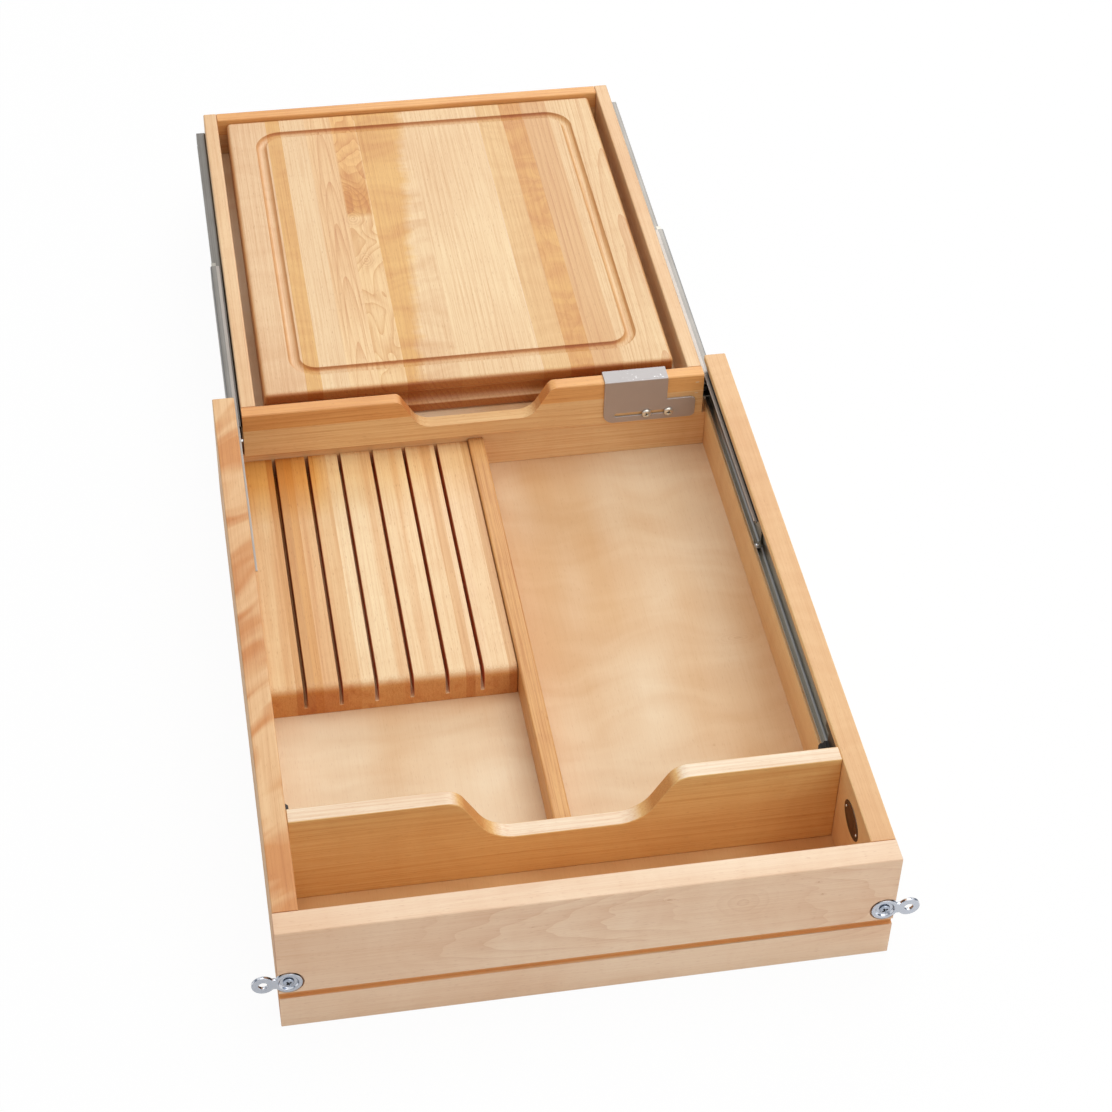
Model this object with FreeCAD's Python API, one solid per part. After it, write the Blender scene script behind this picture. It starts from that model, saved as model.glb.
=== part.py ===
import FreeCAD, Part
import math
import os

# Two-tier kitchen drawer insert: a lower maple drawer with dividers and a knife block, and a tray
# with a cutting board that rolls over it on full-extension ball slides.
#
# Frame while modelling: X to the right, Y from the front face back, Z up from the lower edge.
# place_and_export() then moves everything back by half the length, so that the origin is at the
# bottom centre of the whole object with the tray drawn back. Millimetres throughout.
V = FreeCAD.Vector

# Lower drawer
drawer_width = 444.5
drawer_depth = 578.0
drawer_height = 103.4
side_thk = 18.5
front_thk = 19.7
rear_thk = 18.5
floor_thk = 9.0
floor_recess = 9.1
panel_tongue = 6.0
edge_ease = 0.8
overcut = 1.0
front_groove_low = 31.5
front_groove_high = 38.0
front_groove_depth = 3.5

# Scooped cross divider, long divider and knife block
cross_front_y = 99.2
cross_thk = 13.3
cross_scoop_half = 38.0
cross_scoop_floor_z = 59.7
scoop_shoulder_r = 18.0
scoop_floor_r = 30.0
scoop_slope_deg = 60.0
long_thk = 13.4
long_top_z = 49.8
block_length = 277.3
block_top_z = 46.5
block_side_gap = 0.5
block_nose_r = 8.0
slot_count = 6
slot_pitch = 28.0
slot_width = 3.0
slot_depth = 20.8

# Tray
tray_gap = 4.7
tray_length = 460.0
tray_height = 44.3
tray_wall = 12.5
tray_drop = 2.6
tray_front_lap = 4.9
tray_floor_thk = 6.0
tray_scoop_half = 38.0
tray_scoop_floor_z = 71.0
tray_scoop_shoulder_r = 9.0
tray_scoop_floor_r = 18.0
rear_clear = 2.0

# Cutting board
board_thk = 35.0
board_side_gap = 8.55
board_front_gap = 16.2
board_rear_gap = 0.6
board_edge_r = 4.0
cove_width = 16.0
cove_depth = 4.5
cove_facets = 8
juice_side_margin = 30.0
juice_end_margin = 27.0
juice_r = 5.0
juice_depth = 4.0
juice_corner_r = 20.0
juice_facets = 4

# Full-extension ball slides. s is measured outwards from the tray's side, h up from mid-height
slide_width = 12.7
rail_thk = 1.0
rail_bend_r = 1.5
outer_half_h = 17.3
outer_lip = 3.1
outer_mouth_s = 5.8
outer_rear_setback = 6.0
outer_front_play = 0.5
groove_play = 1.2
middle_half_h = 12.4
middle_lip = 2.6
middle_mouth_s = 4.2
middle_length = 407.0
middle_front_setback = 179.5
inner_half_h = 7.6
inner_flange_s = 8.6
inner_front_setback = 5.5
inner_rear_setback = 9.5
ball_r = 1.6
ball_count = 5
ball_sides = 8
ball_rings = 3
ball_play = 0.3
cage_thk = 0.4
cage_notch_play = 0.15
outer_cage_front_inset = 1.0
outer_cage_rear_gap = 12.0
inner_cage_front_gap = 5.0
inner_cage_length = 225.0
stop_length = 30.2
stop_nose_s = 1.35
stop_nose_height = 7.0
stop_nose_chamfer = 2.0
stop_recess_s = 8.9
stop_jaw_play = 0.7
ear_thk = 1.2
ear_inset = 2.5

# Release lever in the front end of each inner rail
lever_front_inset = 2.0
lever_length = 29.0
lever_half_h = 2.4
lever_thk = 1.8
lever_end_cut = 1.4
lever_pad_thk = 4.6
lever_pad_length = 3.0
lever_pad_cut = 0.8
lever_pivot_setback = 21.2
rivet_r = 1.2
rivet_play = 0.1
rivet_head_r = 2.1
rivet_head_height = 0.9

# Screws. A turned piece has this many flats round it, and its head narrows to this share at the top
turned_sides = 12
head_top_share = 0.6
head_edge_share = 0.45
screw_r = 2.0
rail_screw_head_r = 3.4
rail_screw_length = 8.0
rail_screw_inset = 21.0
pan_head_r = 3.2
pan_head_height = 1.8
tray_screw_length = 9.0
tray_screw_front_inset = 53.0
tray_screw_rear_inset = 36.0
pilot_play = 0.05
pilot_end_play = 0.5

# Sliding latch on the tray front
latch_width = 55.4
latch_tab_reach = 25.2
latch_tip_inset = 7.05
latch_tab_drop = 22.2
latch_height = 43.4
latch_thk = 1.6
latch_corner_r = 9.0
latch_tip_r = 4.5
latch_overhang = 1.8
latch_lip_height = 4.0
latch_slot_drop = 35.4
latch_slot_half_h = 1.95
latch_slot_start = 9.4
latch_slot_play = 0.5
latch_bend_r = 1.3
latch_screw_r = 1.7
latch_screw_head_r = 4.2
latch_screw_head_height = 2.2
latch_screw_start = 37.6
latch_screw_pitch = 19.5
latch_head_clear = 1.2

# Figure-eight fasteners in the front face
eight_inset = 7.45
eight_z = 49.3
eight_big_r = 10.0
eight_small_r = 8.2
eight_pitch = 17.8
eight_neck_half = 4.8
eight_thk = 2.4
eight_proud = 0.5
eight_dish_r = 7.2
eight_dish_floor_r = 6.3
eight_dish_depth = 1.5
eight_sides = 28
eight_pocket_play = 1.0
eight_hole_r = 3.3
eight_screw_head_r = 4.0
eight_screw_head_height = 1.7
eight_screw_length = 15.0

# Clearance between pieces that move past each other
running_gap = 0.3

# Derived places
inner_half = drawer_width / 2 - side_thk
floor_top_z = floor_recess + floor_thk
cross_back_y = cross_front_y + cross_thk
rear_front_y = drawer_depth - rear_thk
tray_half = inner_half - tray_gap
tray_top_z = drawer_height - tray_drop
tray_bottom_z = tray_top_z - tray_height
rear_top_z = tray_bottom_z - rear_clear
latch_stack = running_gap + latch_thk + running_gap + latch_screw_head_height + latch_head_clear
tray_closed_y = cross_back_y + latch_stack
tray_front_y = rear_front_y - tray_front_lap
tray_rear_y = tray_front_y + tray_length
tray_floor_top_z = tray_bottom_z + tray_floor_thk
board_width = 2 * (tray_half - tray_wall - board_side_gap)
board_length = tray_length - 2 * tray_wall - board_front_gap - board_rear_gap
slide_z = tray_bottom_z + tray_height / 2
outer_front_y = tray_closed_y + outer_front_play
outer_profile_y = outer_front_y + stop_length + running_gap
outer_rear_y = drawer_depth - outer_rear_setback
middle_front_y = tray_front_y - middle_front_setback
inner_front_y = tray_front_y + inner_front_setback
inner_rear_y = tray_rear_y - inner_rear_setback
lever_pivot_y = inner_front_y + lever_front_inset + lever_pivot_setback
groove_half_h = outer_half_h + groove_play
outer_web_s = slide_width - rail_thk
middle_web_s = outer_web_s - 2 * ball_play - cage_thk
latch_bottom_z = tray_top_z - latch_height
latch_tab_top_z = tray_top_z - latch_tab_drop
latch_slot_z = tray_top_z - latch_slot_drop
latch_right_x = tray_half - latch_tip_inset - latch_tab_reach
latch_left_x = latch_right_x - latch_width
latch_screw_xs = [latch_left_x + latch_screw_start, latch_left_x + latch_screw_start + latch_screw_pitch]
latch_screw_end_y = tray_front_y + tray_wall - panel_tongue - pilot_end_play
latch_under_head_y = tray_front_y - 2 * running_gap - latch_thk
eight_x = drawer_width / 2 - eight_inset
eight_under_head_y = eight_dish_depth - eight_proud - running_gap
front_most_y = min(0.0, eight_under_head_y - eight_screw_head_height)
origin_y = (front_most_y + tray_rear_y) / 2


def box(x0, x1, y0, y1, z0, z1):
    return Part.makeBox(x1 - x0, y1 - y0, z1 - z0, V(x0, y0, z0))


def cylinder_y(radius, x, z, y0, y1):
    return Part.makeCylinder(radius, y1 - y0, V(x, y0, z), V(0, 1, 0))


# Flat-sided body of revolution. Each station is a distance along the axis and a radius.
def turned(start, along, stations, sides=turned_sides):
    up = V(0, 0, 1)
    across = along.cross(up)
    turns = [2 * math.pi * index / sides for index in range(sides)]
    rings = [[start + along * distance + up * (radius * math.cos(turn)) + across * (radius * math.sin(turn))
              for turn in turns] for distance, radius in stations]
    faces = [Part.Face(Part.makePolygon(ring + ring[:1])) for ring in (rings[0], rings[-1])]
    for near, far in zip(rings, rings[1:]):
        for k in range(sides):
            m = (k + 1) % sides
            faces.append(Part.Face(Part.makePolygon([near[k], near[m], far[m], far[k], near[k]])))
    return Part.makeSolid(Part.makeShell(faces))


# Screw with a rounded head, from its tip to the top of the head.
def headed(start, along, shank_r, shank_length, head_r, head_height, sides=turned_sides):
    return turned(start, along, [
        (0, shank_r), (shank_length, shank_r), (shank_length, head_r),
        (shank_length + head_height * head_edge_share, head_r),
        (shank_length + head_height, head_r * head_top_share)], sides)


def mirrored(shape):
    return shape.mirror(V(0, 0, 0), V(1, 0, 0))


def join(shapes):
    result = shapes[0]
    for shape in shapes[1:]:
        result = result.fuse(shape)
    return result.removeSplitter()


def cut(shape, tools):
    for tool in tools:
        shape = shape.cut(tool)
    return shape


# The same without steps, for stems and for the holes they go in.
def round_bar(start, along, radius, length, sides=turned_sides):
    return turned(start, along, [(0, radius), (length, radius)], sides)


def edges_where(shape, test):
    return [edge for edge in shape.Edges if test(edge)]


# Sanding takes off the two upper edges that run along a board.
def eased_top(shape, along):
    top_z = shape.BoundBox.ZMax

    def runs_along_top(edge):
        where = edge.BoundBox
        run = where.XLength if along == "x" else where.YLength
        return abs(where.ZMin - top_z) < 1e-4 and abs(run - edge.Length) < 1e-4
    return shape.makeChamfer(edge_ease, edges_where(shape, runs_along_top))


# Flat-bottomed dip with S-shaped flanks, as a solid to cut from a board. In a shallow dip the flank
# leans less, so that its two arcs and the short straight between them still fit the drop.
def scoop_cutter(half, floor_z, top_z, shoulder_r, floor_r, y0, y1):
    drop = top_z - floor_z
    steepest = math.acos(max(1 - 0.95 * drop / (shoulder_r + floor_r), -1))
    slope = min(math.radians(scoop_slope_deg), steepest)
    line_rise = drop - (shoulder_r + floor_r) * (1 - math.cos(slope))
    dx_floor = floor_r * math.sin(slope)
    dz_floor = floor_r * (1 - math.cos(slope))
    dx_line = line_rise / math.tan(slope)
    dx_shoulder = shoulder_r * math.sin(slope)

    def flank(sign):
        a = V(sign * half, 0, floor_z)
        b = V(sign * (half + dx_floor), 0, floor_z + dz_floor)
        c = V(sign * (half + dx_floor + dx_line), 0, floor_z + dz_floor + line_rise)
        d = V(sign * (half + dx_floor + dx_line + dx_shoulder), 0, top_z)
        mid_floor = V(sign * (half + floor_r * math.sin(slope / 2)), 0,
                      floor_z + floor_r * (1 - math.cos(slope / 2)))
        mid_shoulder = V(d.x - sign * shoulder_r * math.sin(slope / 2), 0,
                         top_z - shoulder_r * (1 - math.cos(slope / 2)))
        return a, mid_floor, b, c, mid_shoulder, d

    la, lm, lb, lc, ls, ld = flank(-1)
    ra, rm, rb, rc, rs, rd = flank(1)
    over = V(0, 0, overcut)
    edges = [
        Part.Arc(ld, ls, lc).toShape(),
        Part.LineSegment(lc, lb).toShape(),
        Part.Arc(lb, lm, la).toShape(),
        Part.LineSegment(la, ra).toShape(),
        Part.Arc(ra, rm, rb).toShape(),
        Part.LineSegment(rb, rc).toShape(),
        Part.Arc(rc, rs, rd).toShape(),
        Part.LineSegment(rd, rd + over).toShape(),
        Part.LineSegment(rd + over, ld + over).toShape(),
        Part.LineSegment(ld + over, ld).toShape(),
    ]
    face = Part.Face(Part.Wire(edges))
    solid = face.extrude(V(0, y1 - y0, 0))
    solid.translate(V(0, y0, 0))
    return solid


def floor_groove(y0, y1):
    reach = inner_half + panel_tongue
    return box(-reach, reach, y0, y1, floor_recess, floor_top_z)


def side_right():
    side = box(inner_half, drawer_width / 2, front_thk, drawer_depth, 0, drawer_height)
    side = eased_top(side, "y")
    groove_floor = tray_half + slide_width
    slide_groove = box(inner_half - overcut, groove_floor, cross_back_y, drawer_depth + overcut,
                       slide_z - groove_half_h, slide_z + groove_half_h)
    pilots = [round_bar(V(groove_floor - overcut, y, slide_z), V(1, 0, 0), screw_r + pilot_play,
                            overcut + rail_screw_length - rail_thk) for y in outer_screw_ys()]
    return cut(side, [slide_groove, floor_groove(0, rear_front_y + panel_tongue)] + pilots)


def front_board():
    board = box(-drawer_width / 2, drawer_width / 2, 0, front_thk, 0, drawer_height)
    board = eased_top(board, "x")
    groove = box(-drawer_width, drawer_width, -overcut, front_groove_depth,
                 front_groove_low, front_groove_high)
    board = cut(board, [groove, floor_groove(front_thk - panel_tongue, front_thk + overcut)])
    pocket_depth = eight_thk - eight_proud + running_gap
    for sign in (-1, 1):
        mouth = V(sign * eight_x, -overcut, eight_z)
        pocket = round_bar(mouth, V(0, 1, 0), eight_big_r + eight_pocket_play, overcut + pocket_depth,
                               eight_sides)
        pilot = round_bar(mouth, V(0, 1, 0), screw_r + pilot_play,
                              overcut + eight_screw_length + pilot_end_play)
        board = cut(board, [pocket, pilot])
    return board


def rear_wall():
    wall = box(-inner_half, inner_half, rear_front_y, drawer_depth, 0, rear_top_z)
    wall = eased_top(wall, "x")
    return wall.cut(floor_groove(rear_front_y - overcut, rear_front_y + panel_tongue))


def drawer_floor():
    return floor_groove(front_thk - panel_tongue, rear_front_y + panel_tongue)


def cross_divider():
    board = box(-inner_half, inner_half, cross_front_y, cross_back_y, floor_top_z, drawer_height)
    scoop = scoop_cutter(cross_scoop_half, cross_scoop_floor_z, drawer_height, scoop_shoulder_r,
                         scoop_floor_r, cross_front_y - overcut, cross_back_y + overcut)
    return board.cut(scoop)


def long_divider():
    board = box(-long_thk / 2, long_thk / 2, cross_back_y, rear_front_y, floor_top_z, long_top_z)
    return eased_top(board, "y")


def knife_block():
    left = block_side_gap - inner_half
    right = -long_thk / 2 - block_side_gap
    front = rear_front_y - block_length
    block = box(left, right, front, rear_front_y, floor_top_z, block_top_z)

    def nose(edge):
        where = edge.BoundBox
        return abs(where.YMax - front) < 1e-4 and abs(where.ZMin - block_top_z) < 1e-4
    block = block.makeFillet(block_nose_r, edges_where(block, nose))
    first = (left + right) / 2 - slot_pitch * (slot_count - 1) / 2
    for index in range(slot_count):
        centre = first + index * slot_pitch
        block = block.cut(box(centre - slot_width / 2, centre + slot_width / 2, front - overcut,
                              rear_front_y + overcut, block_top_z - slot_depth, block_top_z + overcut))
    return block


# The ball slides are drawn for the right side and mirrored for the left.
def slide_point(s, h):
    return V(tray_half + s, 0, slide_z + h)


# Edges of an open path through the points, with an arc of the given radius at each inner corner.
def rounded_path(points, radius):
    edges = []
    start = points[0]
    for before, corner, after in zip(points, points[1:], points[2:]):
        to_before = (before - corner).normalize()
        to_after = (after - corner).normalize()
        a = corner + to_before * radius
        b = corner + to_after * radius
        centre = corner + (to_before + to_after) * radius
        middle = centre + (corner - centre).normalize() * radius
        edges.append(Part.LineSegment(start, a).toShape())
        edges.append(Part.Arc(a, middle, b).toShape())
        start = b
    edges.append(Part.LineSegment(start, points[-1]).toShape())
    return edges


# Rolled steel channel: the outline is its outer face, the inner face lies inside it.
def bent_strip(outline, thickness, radius, y0, y1):
    outer = [slide_point(s, h) for s, h in outline]
    inner = [slide_point(s, h) for s, h in inset(outline, thickness)]
    outer_edges = rounded_path(outer, radius)
    inner_edges = rounded_path(inner[::-1], radius - thickness)
    far_end = Part.LineSegment(outer[-1], inner[-1]).toShape()
    near_end = Part.LineSegment(inner[0], outer[0]).toShape()
    wire = Part.Wire(outer_edges + [far_end] + inner_edges + [near_end])
    strip = Part.Face(wire).extrude(V(0, y1 - y0, 0))
    strip.translate(V(0, y0, 0))
    return strip


# The same right-angled outline, one sheet thickness further in; its two ends stay in line.
def inset(outline, thickness):
    middle_s = sum(s for s, h in outline) / len(outline)
    inner = []
    for index, (s, h) in enumerate(outline):
        if index in (0, len(outline) - 1):
            neighbour = outline[1] if index == 0 else outline[-2]
            if abs(neighbour[0] - s) < 1e-6:
                inner.append((s + math.copysign(thickness, middle_s - s), h))
            else:
                inner.append((s, h - math.copysign(thickness, h)))
            continue
        inner.append((s + math.copysign(thickness, middle_s - s), h - math.copysign(thickness, h)))
    return inner


def channel_outline(mouth_s, web_s, half_h, lip):
    return [(mouth_s, half_h - lip), (mouth_s, half_h), (web_s, half_h),
            (web_s, -half_h), (mouth_s, -half_h), (mouth_s, lip - half_h)]


def outer_screw_ys():
    first = outer_profile_y + rail_screw_inset
    last = outer_rear_y - rail_screw_inset
    return [first, (first + last) / 2, last]


# Fixed member. Its web runs on in front of the channel, as a foot behind the end stop.
def outer_rail():
    profile = channel_outline(outer_mouth_s, slide_width, outer_half_h, outer_lip)
    rail = bent_strip(profile, rail_thk, rail_bend_r, outer_profile_y, outer_rear_y)
    flat_half = outer_half_h - rail_bend_r
    foot = box(tray_half + outer_web_s, tray_half + slide_width, outer_front_y, outer_profile_y + overcut,
               slide_z - flat_half, slide_z + flat_half)
    rail = join([rail, foot])
    for y in outer_screw_ys():
        rail = rail.cut(outer_screw(y, pilot_play))
    return rail


# Flat-head screw, flush in the web of the fixed member, into the wooden side.
def outer_screw(y, play=0.0):
    return turned(V(tray_half + outer_web_s, y, slide_z), V(1, 0, 0), [
        (0, rail_screw_head_r + play), (rail_thk, screw_r + play), (rail_screw_length, screw_r + play)])


# Black end stop: a C that lets the inner rail in, with a nose that the latch tab catches.
def rail_stop():
    top = outer_half_h
    low = -outer_half_h
    jaw = inner_half_h + stop_jaw_play
    nose_top = low + stop_nose_height
    points = [(outer_web_s, top), (outer_mouth_s, top), (outer_mouth_s, jaw), (stop_recess_s, jaw),
              (stop_recess_s, -jaw), (outer_mouth_s, -jaw), (outer_mouth_s, nose_top),
              (stop_nose_s, nose_top), (stop_nose_s, low), (outer_web_s, low)]
    wire = Part.makePolygon([slide_point(s, h) for s, h in points + points[:1]])
    stop = Part.Face(wire).extrude(V(0, stop_length, 0))
    stop.translate(V(0, outer_front_y, 0))

    def nose_rear(edge):
        where = edge.BoundBox
        return (abs(where.XMin - where.XMax) < 1e-4 and abs(where.XMin - tray_half - stop_nose_s) < 1e-4
                and abs(where.YMin - outer_front_y - stop_length) < 1e-4)
    return stop.makeChamfer(stop_nose_chamfer, edges_where(stop, nose_rear))


def middle_rail():
    profile = channel_outline(middle_mouth_s, middle_web_s, middle_half_h, middle_lip)
    return bent_strip(profile, rail_thk, rail_bend_r, middle_front_y, middle_front_y + middle_length)


def inner_screw_ys():
    first = inner_front_y + tray_screw_front_inset
    last = inner_rear_y - tray_screw_rear_inset
    return [first, (first + last) / 2, last]


# Member on the tray: an open channel with an ear bent across its rear end.
def inner_rail():
    profile = [(inner_flange_s, inner_half_h), (0, inner_half_h), (0, -inner_half_h),
               (inner_flange_s, -inner_half_h)]
    rail = bent_strip(profile, rail_thk, rail_bend_r, inner_front_y, inner_rear_y)
    ear_half = inner_half_h - ear_inset
    ear = box(tray_half + rail_thk / 2, tray_half + inner_flange_s, inner_rear_y - ear_thk, inner_rear_y,
              slide_z - ear_half, slide_z + ear_half)
    rail = join([rail, ear])
    holes = [round_bar(V(tray_half - overcut, y, slide_z), V(1, 0, 0), screw_r + pilot_play,
                           rail_thk + 2 * overcut) for y in inner_screw_ys()]
    return cut(rail, holes + [lever_rivet(pilot_play)])


def inner_screw(y):
    tip = V(tray_half + rail_thk - tray_screw_length, y, slide_z)
    return headed(tip, V(1, 0, 0), screw_r, tray_screw_length, pan_head_r, pan_head_height)


# Small rivet that the release lever turns on: a stem with a head on the outside.
def lever_rivet(play=0.0):
    start = V(tray_half + rail_thk / 2, lever_pivot_y, slide_z)
    length = rail_thk / 2 + lever_thk + 2 * running_gap
    if play:
        return round_bar(start, V(1, 0, 0), rivet_r + play, length)
    return headed(start, V(1, 0, 0), rivet_r, length, rivet_head_r, rivet_head_height)


# Black lever inside the inner rail, with a thumb pad at its front end.
def release_lever():
    face = tray_half + rail_thk + running_gap
    front = inner_front_y + lever_front_inset
    low = slide_z - lever_half_h
    high = slide_z + lever_half_h
    arm = box(face, face + lever_thk, front, front + lever_length, low, high)
    arm = arm.makeChamfer(lever_end_cut, edges_where(arm, lambda e: e.BoundBox.XLength > lever_thk / 2
                                                    and e.BoundBox.YMin > front + lever_length / 2))
    pad = box(face, face + lever_pad_thk, front, front + lever_pad_length, low, high)
    pad = pad.makeChamfer(lever_pad_cut, edges_where(pad, lambda e: e.BoundBox.ZLength > lever_half_h
                                                    and e.BoundBox.XMin > face + lever_thk))
    hole = round_bar(V(face - overcut, lever_pivot_y, slide_z), V(1, 0, 0), rivet_r + rivet_play,
                         lever_thk + 2 * overcut)
    return join([arm, pad]).cut(hole)


def ball_places(y0, y1):
    step = (y1 - y0) / ball_count
    return [y0 + step * (index + 0.5) for index in range(ball_count)]


# Ball retainer: a thin U with an open notch in both flanges for each ball.
def cage_strip(web_s, ball_s, ball_h, y0, y1, ball_ys):
    x0 = tray_half + ball_s - ball_r
    x1 = tray_half + web_s
    half = ball_h + cage_thk / 2
    inside = half - cage_thk
    strip = box(x0, x1, y0, y1, slide_z - half, slide_z + half)
    strip = strip.cut(box(x0 - overcut, x1 - cage_thk, y0 - overcut, y1 + overcut,
                          slide_z - inside, slide_z + inside))
    reach = ball_r + cage_notch_play
    for y in ball_ys:
        strip = strip.cut(box(x0 - overcut, tray_half + ball_s + reach, y - reach, y + reach,
                              slide_z - half - overcut, slide_z + half + overcut))
    return strip


def ball_rows(ball_s, ball_h, ball_ys):
    turns = [math.pi * ((index + 0.5) / ball_rings - 0.5) for index in range(ball_rings)]
    stations = [(ball_r * math.sin(turn), ball_r * math.cos(turn)) for turn in turns]
    return Part.makeCompound([turned(V(tray_half + ball_s, y, slide_z + h), V(0, 1, 0), stations, ball_sides)
                              for y in ball_ys for h in (-ball_h, ball_h)])


# Web, ball row and ends of the retainer between the fixed and the middle member.
def outer_cage_values():
    web_s = outer_web_s - ball_play
    ball_s = web_s - cage_thk - ball_play - ball_r
    ball_h = (middle_half_h + outer_half_h - rail_thk) / 2
    y0 = middle_front_y + outer_cage_front_inset
    y1 = outer_rear_y - outer_cage_rear_gap
    return web_s, ball_s, ball_h, y0, y1, ball_places(middle_front_y, y1)


def outer_cage():
    return cage_strip(*outer_cage_values())


def outer_balls():
    web_s, ball_s, ball_h, y0, y1, ball_ys = outer_cage_values()
    return ball_rows(ball_s, ball_h, ball_ys)


# The same for the retainer between the middle member and the one on the tray.
def inner_cage_values():
    web_s = middle_web_s - rail_thk - ball_play
    ball_s = web_s - cage_thk - ball_play - ball_r
    ball_h = (inner_half_h + middle_half_h - rail_thk) / 2
    y0 = inner_front_y + inner_cage_front_gap
    y1 = y0 + inner_cage_length
    return web_s, ball_s, ball_h, y0, y1, ball_places(y0, y1)


def inner_cage():
    return cage_strip(*inner_cage_values())


def inner_balls():
    web_s, ball_s, ball_h, y0, y1, ball_ys = inner_cage_values()
    return ball_rows(ball_s, ball_h, ball_ys)


# The tray's floor is let into a rebate along the lower edges, flush below.
def tray_floor_panel(y0, y1, play=0.0):
    reach = tray_half - tray_wall + panel_tongue
    return box(-reach, reach, y0, y1, tray_bottom_z - play, tray_floor_top_z)


def tray_front_wall():
    back = tray_front_y + tray_wall
    wall = box(-tray_half, tray_half, tray_front_y, back, tray_bottom_z, tray_top_z)
    wall = eased_top(wall, "x")
    scoop = scoop_cutter(tray_scoop_half, tray_scoop_floor_z, tray_top_z, tray_scoop_shoulder_r,
                         tray_scoop_floor_r, tray_front_y - overcut, back + overcut)
    pilots = [round_bar(V(x, tray_front_y - overcut, latch_slot_z), V(0, 1, 0), latch_screw_r + pilot_play,
                            latch_screw_end_y + overcut - tray_front_y) for x in latch_screw_xs]
    return cut(wall, [scoop, tray_floor_panel(back - panel_tongue, back + overcut, overcut)] + pilots)


def tray_side_right():
    front = tray_front_y + tray_wall
    side = box(tray_half - tray_wall, tray_half, front, tray_rear_y, tray_bottom_z, tray_top_z)
    side = eased_top(side, "y")
    pilots = [round_bar(V(tray_half + rail_thk - tray_screw_length, y, slide_z), V(1, 0, 0),
                            screw_r + pilot_play, tray_screw_length) for y in inner_screw_ys()]
    rebate = tray_floor_panel(front - overcut, tray_rear_y - tray_wall + panel_tongue, overcut)
    return cut(side, [rebate] + pilots)


def tray_rear_wall():
    half = tray_half - tray_wall
    front = tray_rear_y - tray_wall
    wall = box(-half, half, front, tray_rear_y, tray_bottom_z, tray_top_z)
    wall = eased_top(wall, "x")
    return wall.cut(tray_floor_panel(front - overcut, front + panel_tongue, overcut))


def tray_floor():
    return tray_floor_panel(tray_front_y + tray_wall - panel_tongue, tray_rear_y - tray_wall + panel_tongue)


# Corners of a shallow arc-shaped section, as pairs of place across and depth.
def arc_section(width, depth, facets):
    radius = (width * width / 4 + depth * depth) / (2 * depth)
    half_turn = math.asin(width / 2 / radius)
    turns = [half_turn * (2 * index / facets - 1) for index in range(facets + 1)]
    return [(radius * math.sin(turn), radius * math.cos(turn) - radius + depth) for turn in turns]


# The juice groove as solids to cut: its section goes round each corner and on to the next one.
def juice_groove():
    reach_x = board_width / 2 - juice_side_margin - juice_corner_r
    reach_y = board_length / 2 - juice_end_margin - juice_corner_r
    half = math.sqrt(juice_r ** 2 - (juice_r - juice_depth) ** 2)
    section = [(across, board_thk - depth)
               for across, depth in arc_section(2 * half, juice_depth, juice_facets)]
    section += [(half, board_thk + overcut), (-half, board_thk + overcut)]
    centres = [V(sx * reach_x, sy * reach_y, 0) for sx, sy in ((1, 1), (-1, 1), (-1, -1), (1, -1))]
    solids = []
    for index, centre in enumerate(centres):
        turn = math.pi / 2 * index
        start, end = [[centre + V(math.cos(a), math.sin(a), 0) * (juice_corner_r + across) + V(0, 0, z)
                       for across, z in section] for a in (turn, turn + math.pi / 2)]
        following = centres[(index + 1) % len(centres)]
        solids.append(Part.Face(Part.makePolygon(start + start[:1])).revolve(centre, V(0, 0, 1), 90))
        solids.append(Part.Face(Part.makePolygon(end + end[:1])).extrude(following - centre))
    return solids


# Long hollow in the front edge of the board, for the fingers that lift it.
def finger_cove():
    front = -board_length / 2
    points = [V(-board_width, front + depth, board_thk / 2 + up)
              for up, depth in arc_section(cove_width, cove_depth, cove_facets)]
    points += [V(-board_width, front - overcut, board_thk / 2 + up)
               for up in (cove_width / 2, -cove_width / 2)]
    return Part.Face(Part.makePolygon(points + points[:1])).extrude(V(2 * board_width, 0, 0))


# Lift-out board: rounded on every edge, with a juice groove near its rim and a finger cove in front.
def cutting_board():
    board = Part.makeBox(board_width, board_length, board_thk, V(-board_width / 2, -board_length / 2, 0))
    board = board.makeFillet(board_edge_r, board.Edges)
    board = cut(board, juice_groove() + [finger_cove()])
    rear = tray_rear_y - tray_wall - board_rear_gap
    board.translate(V(0, rear - board_length / 2, tray_floor_top_z + running_gap))
    return board


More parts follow.
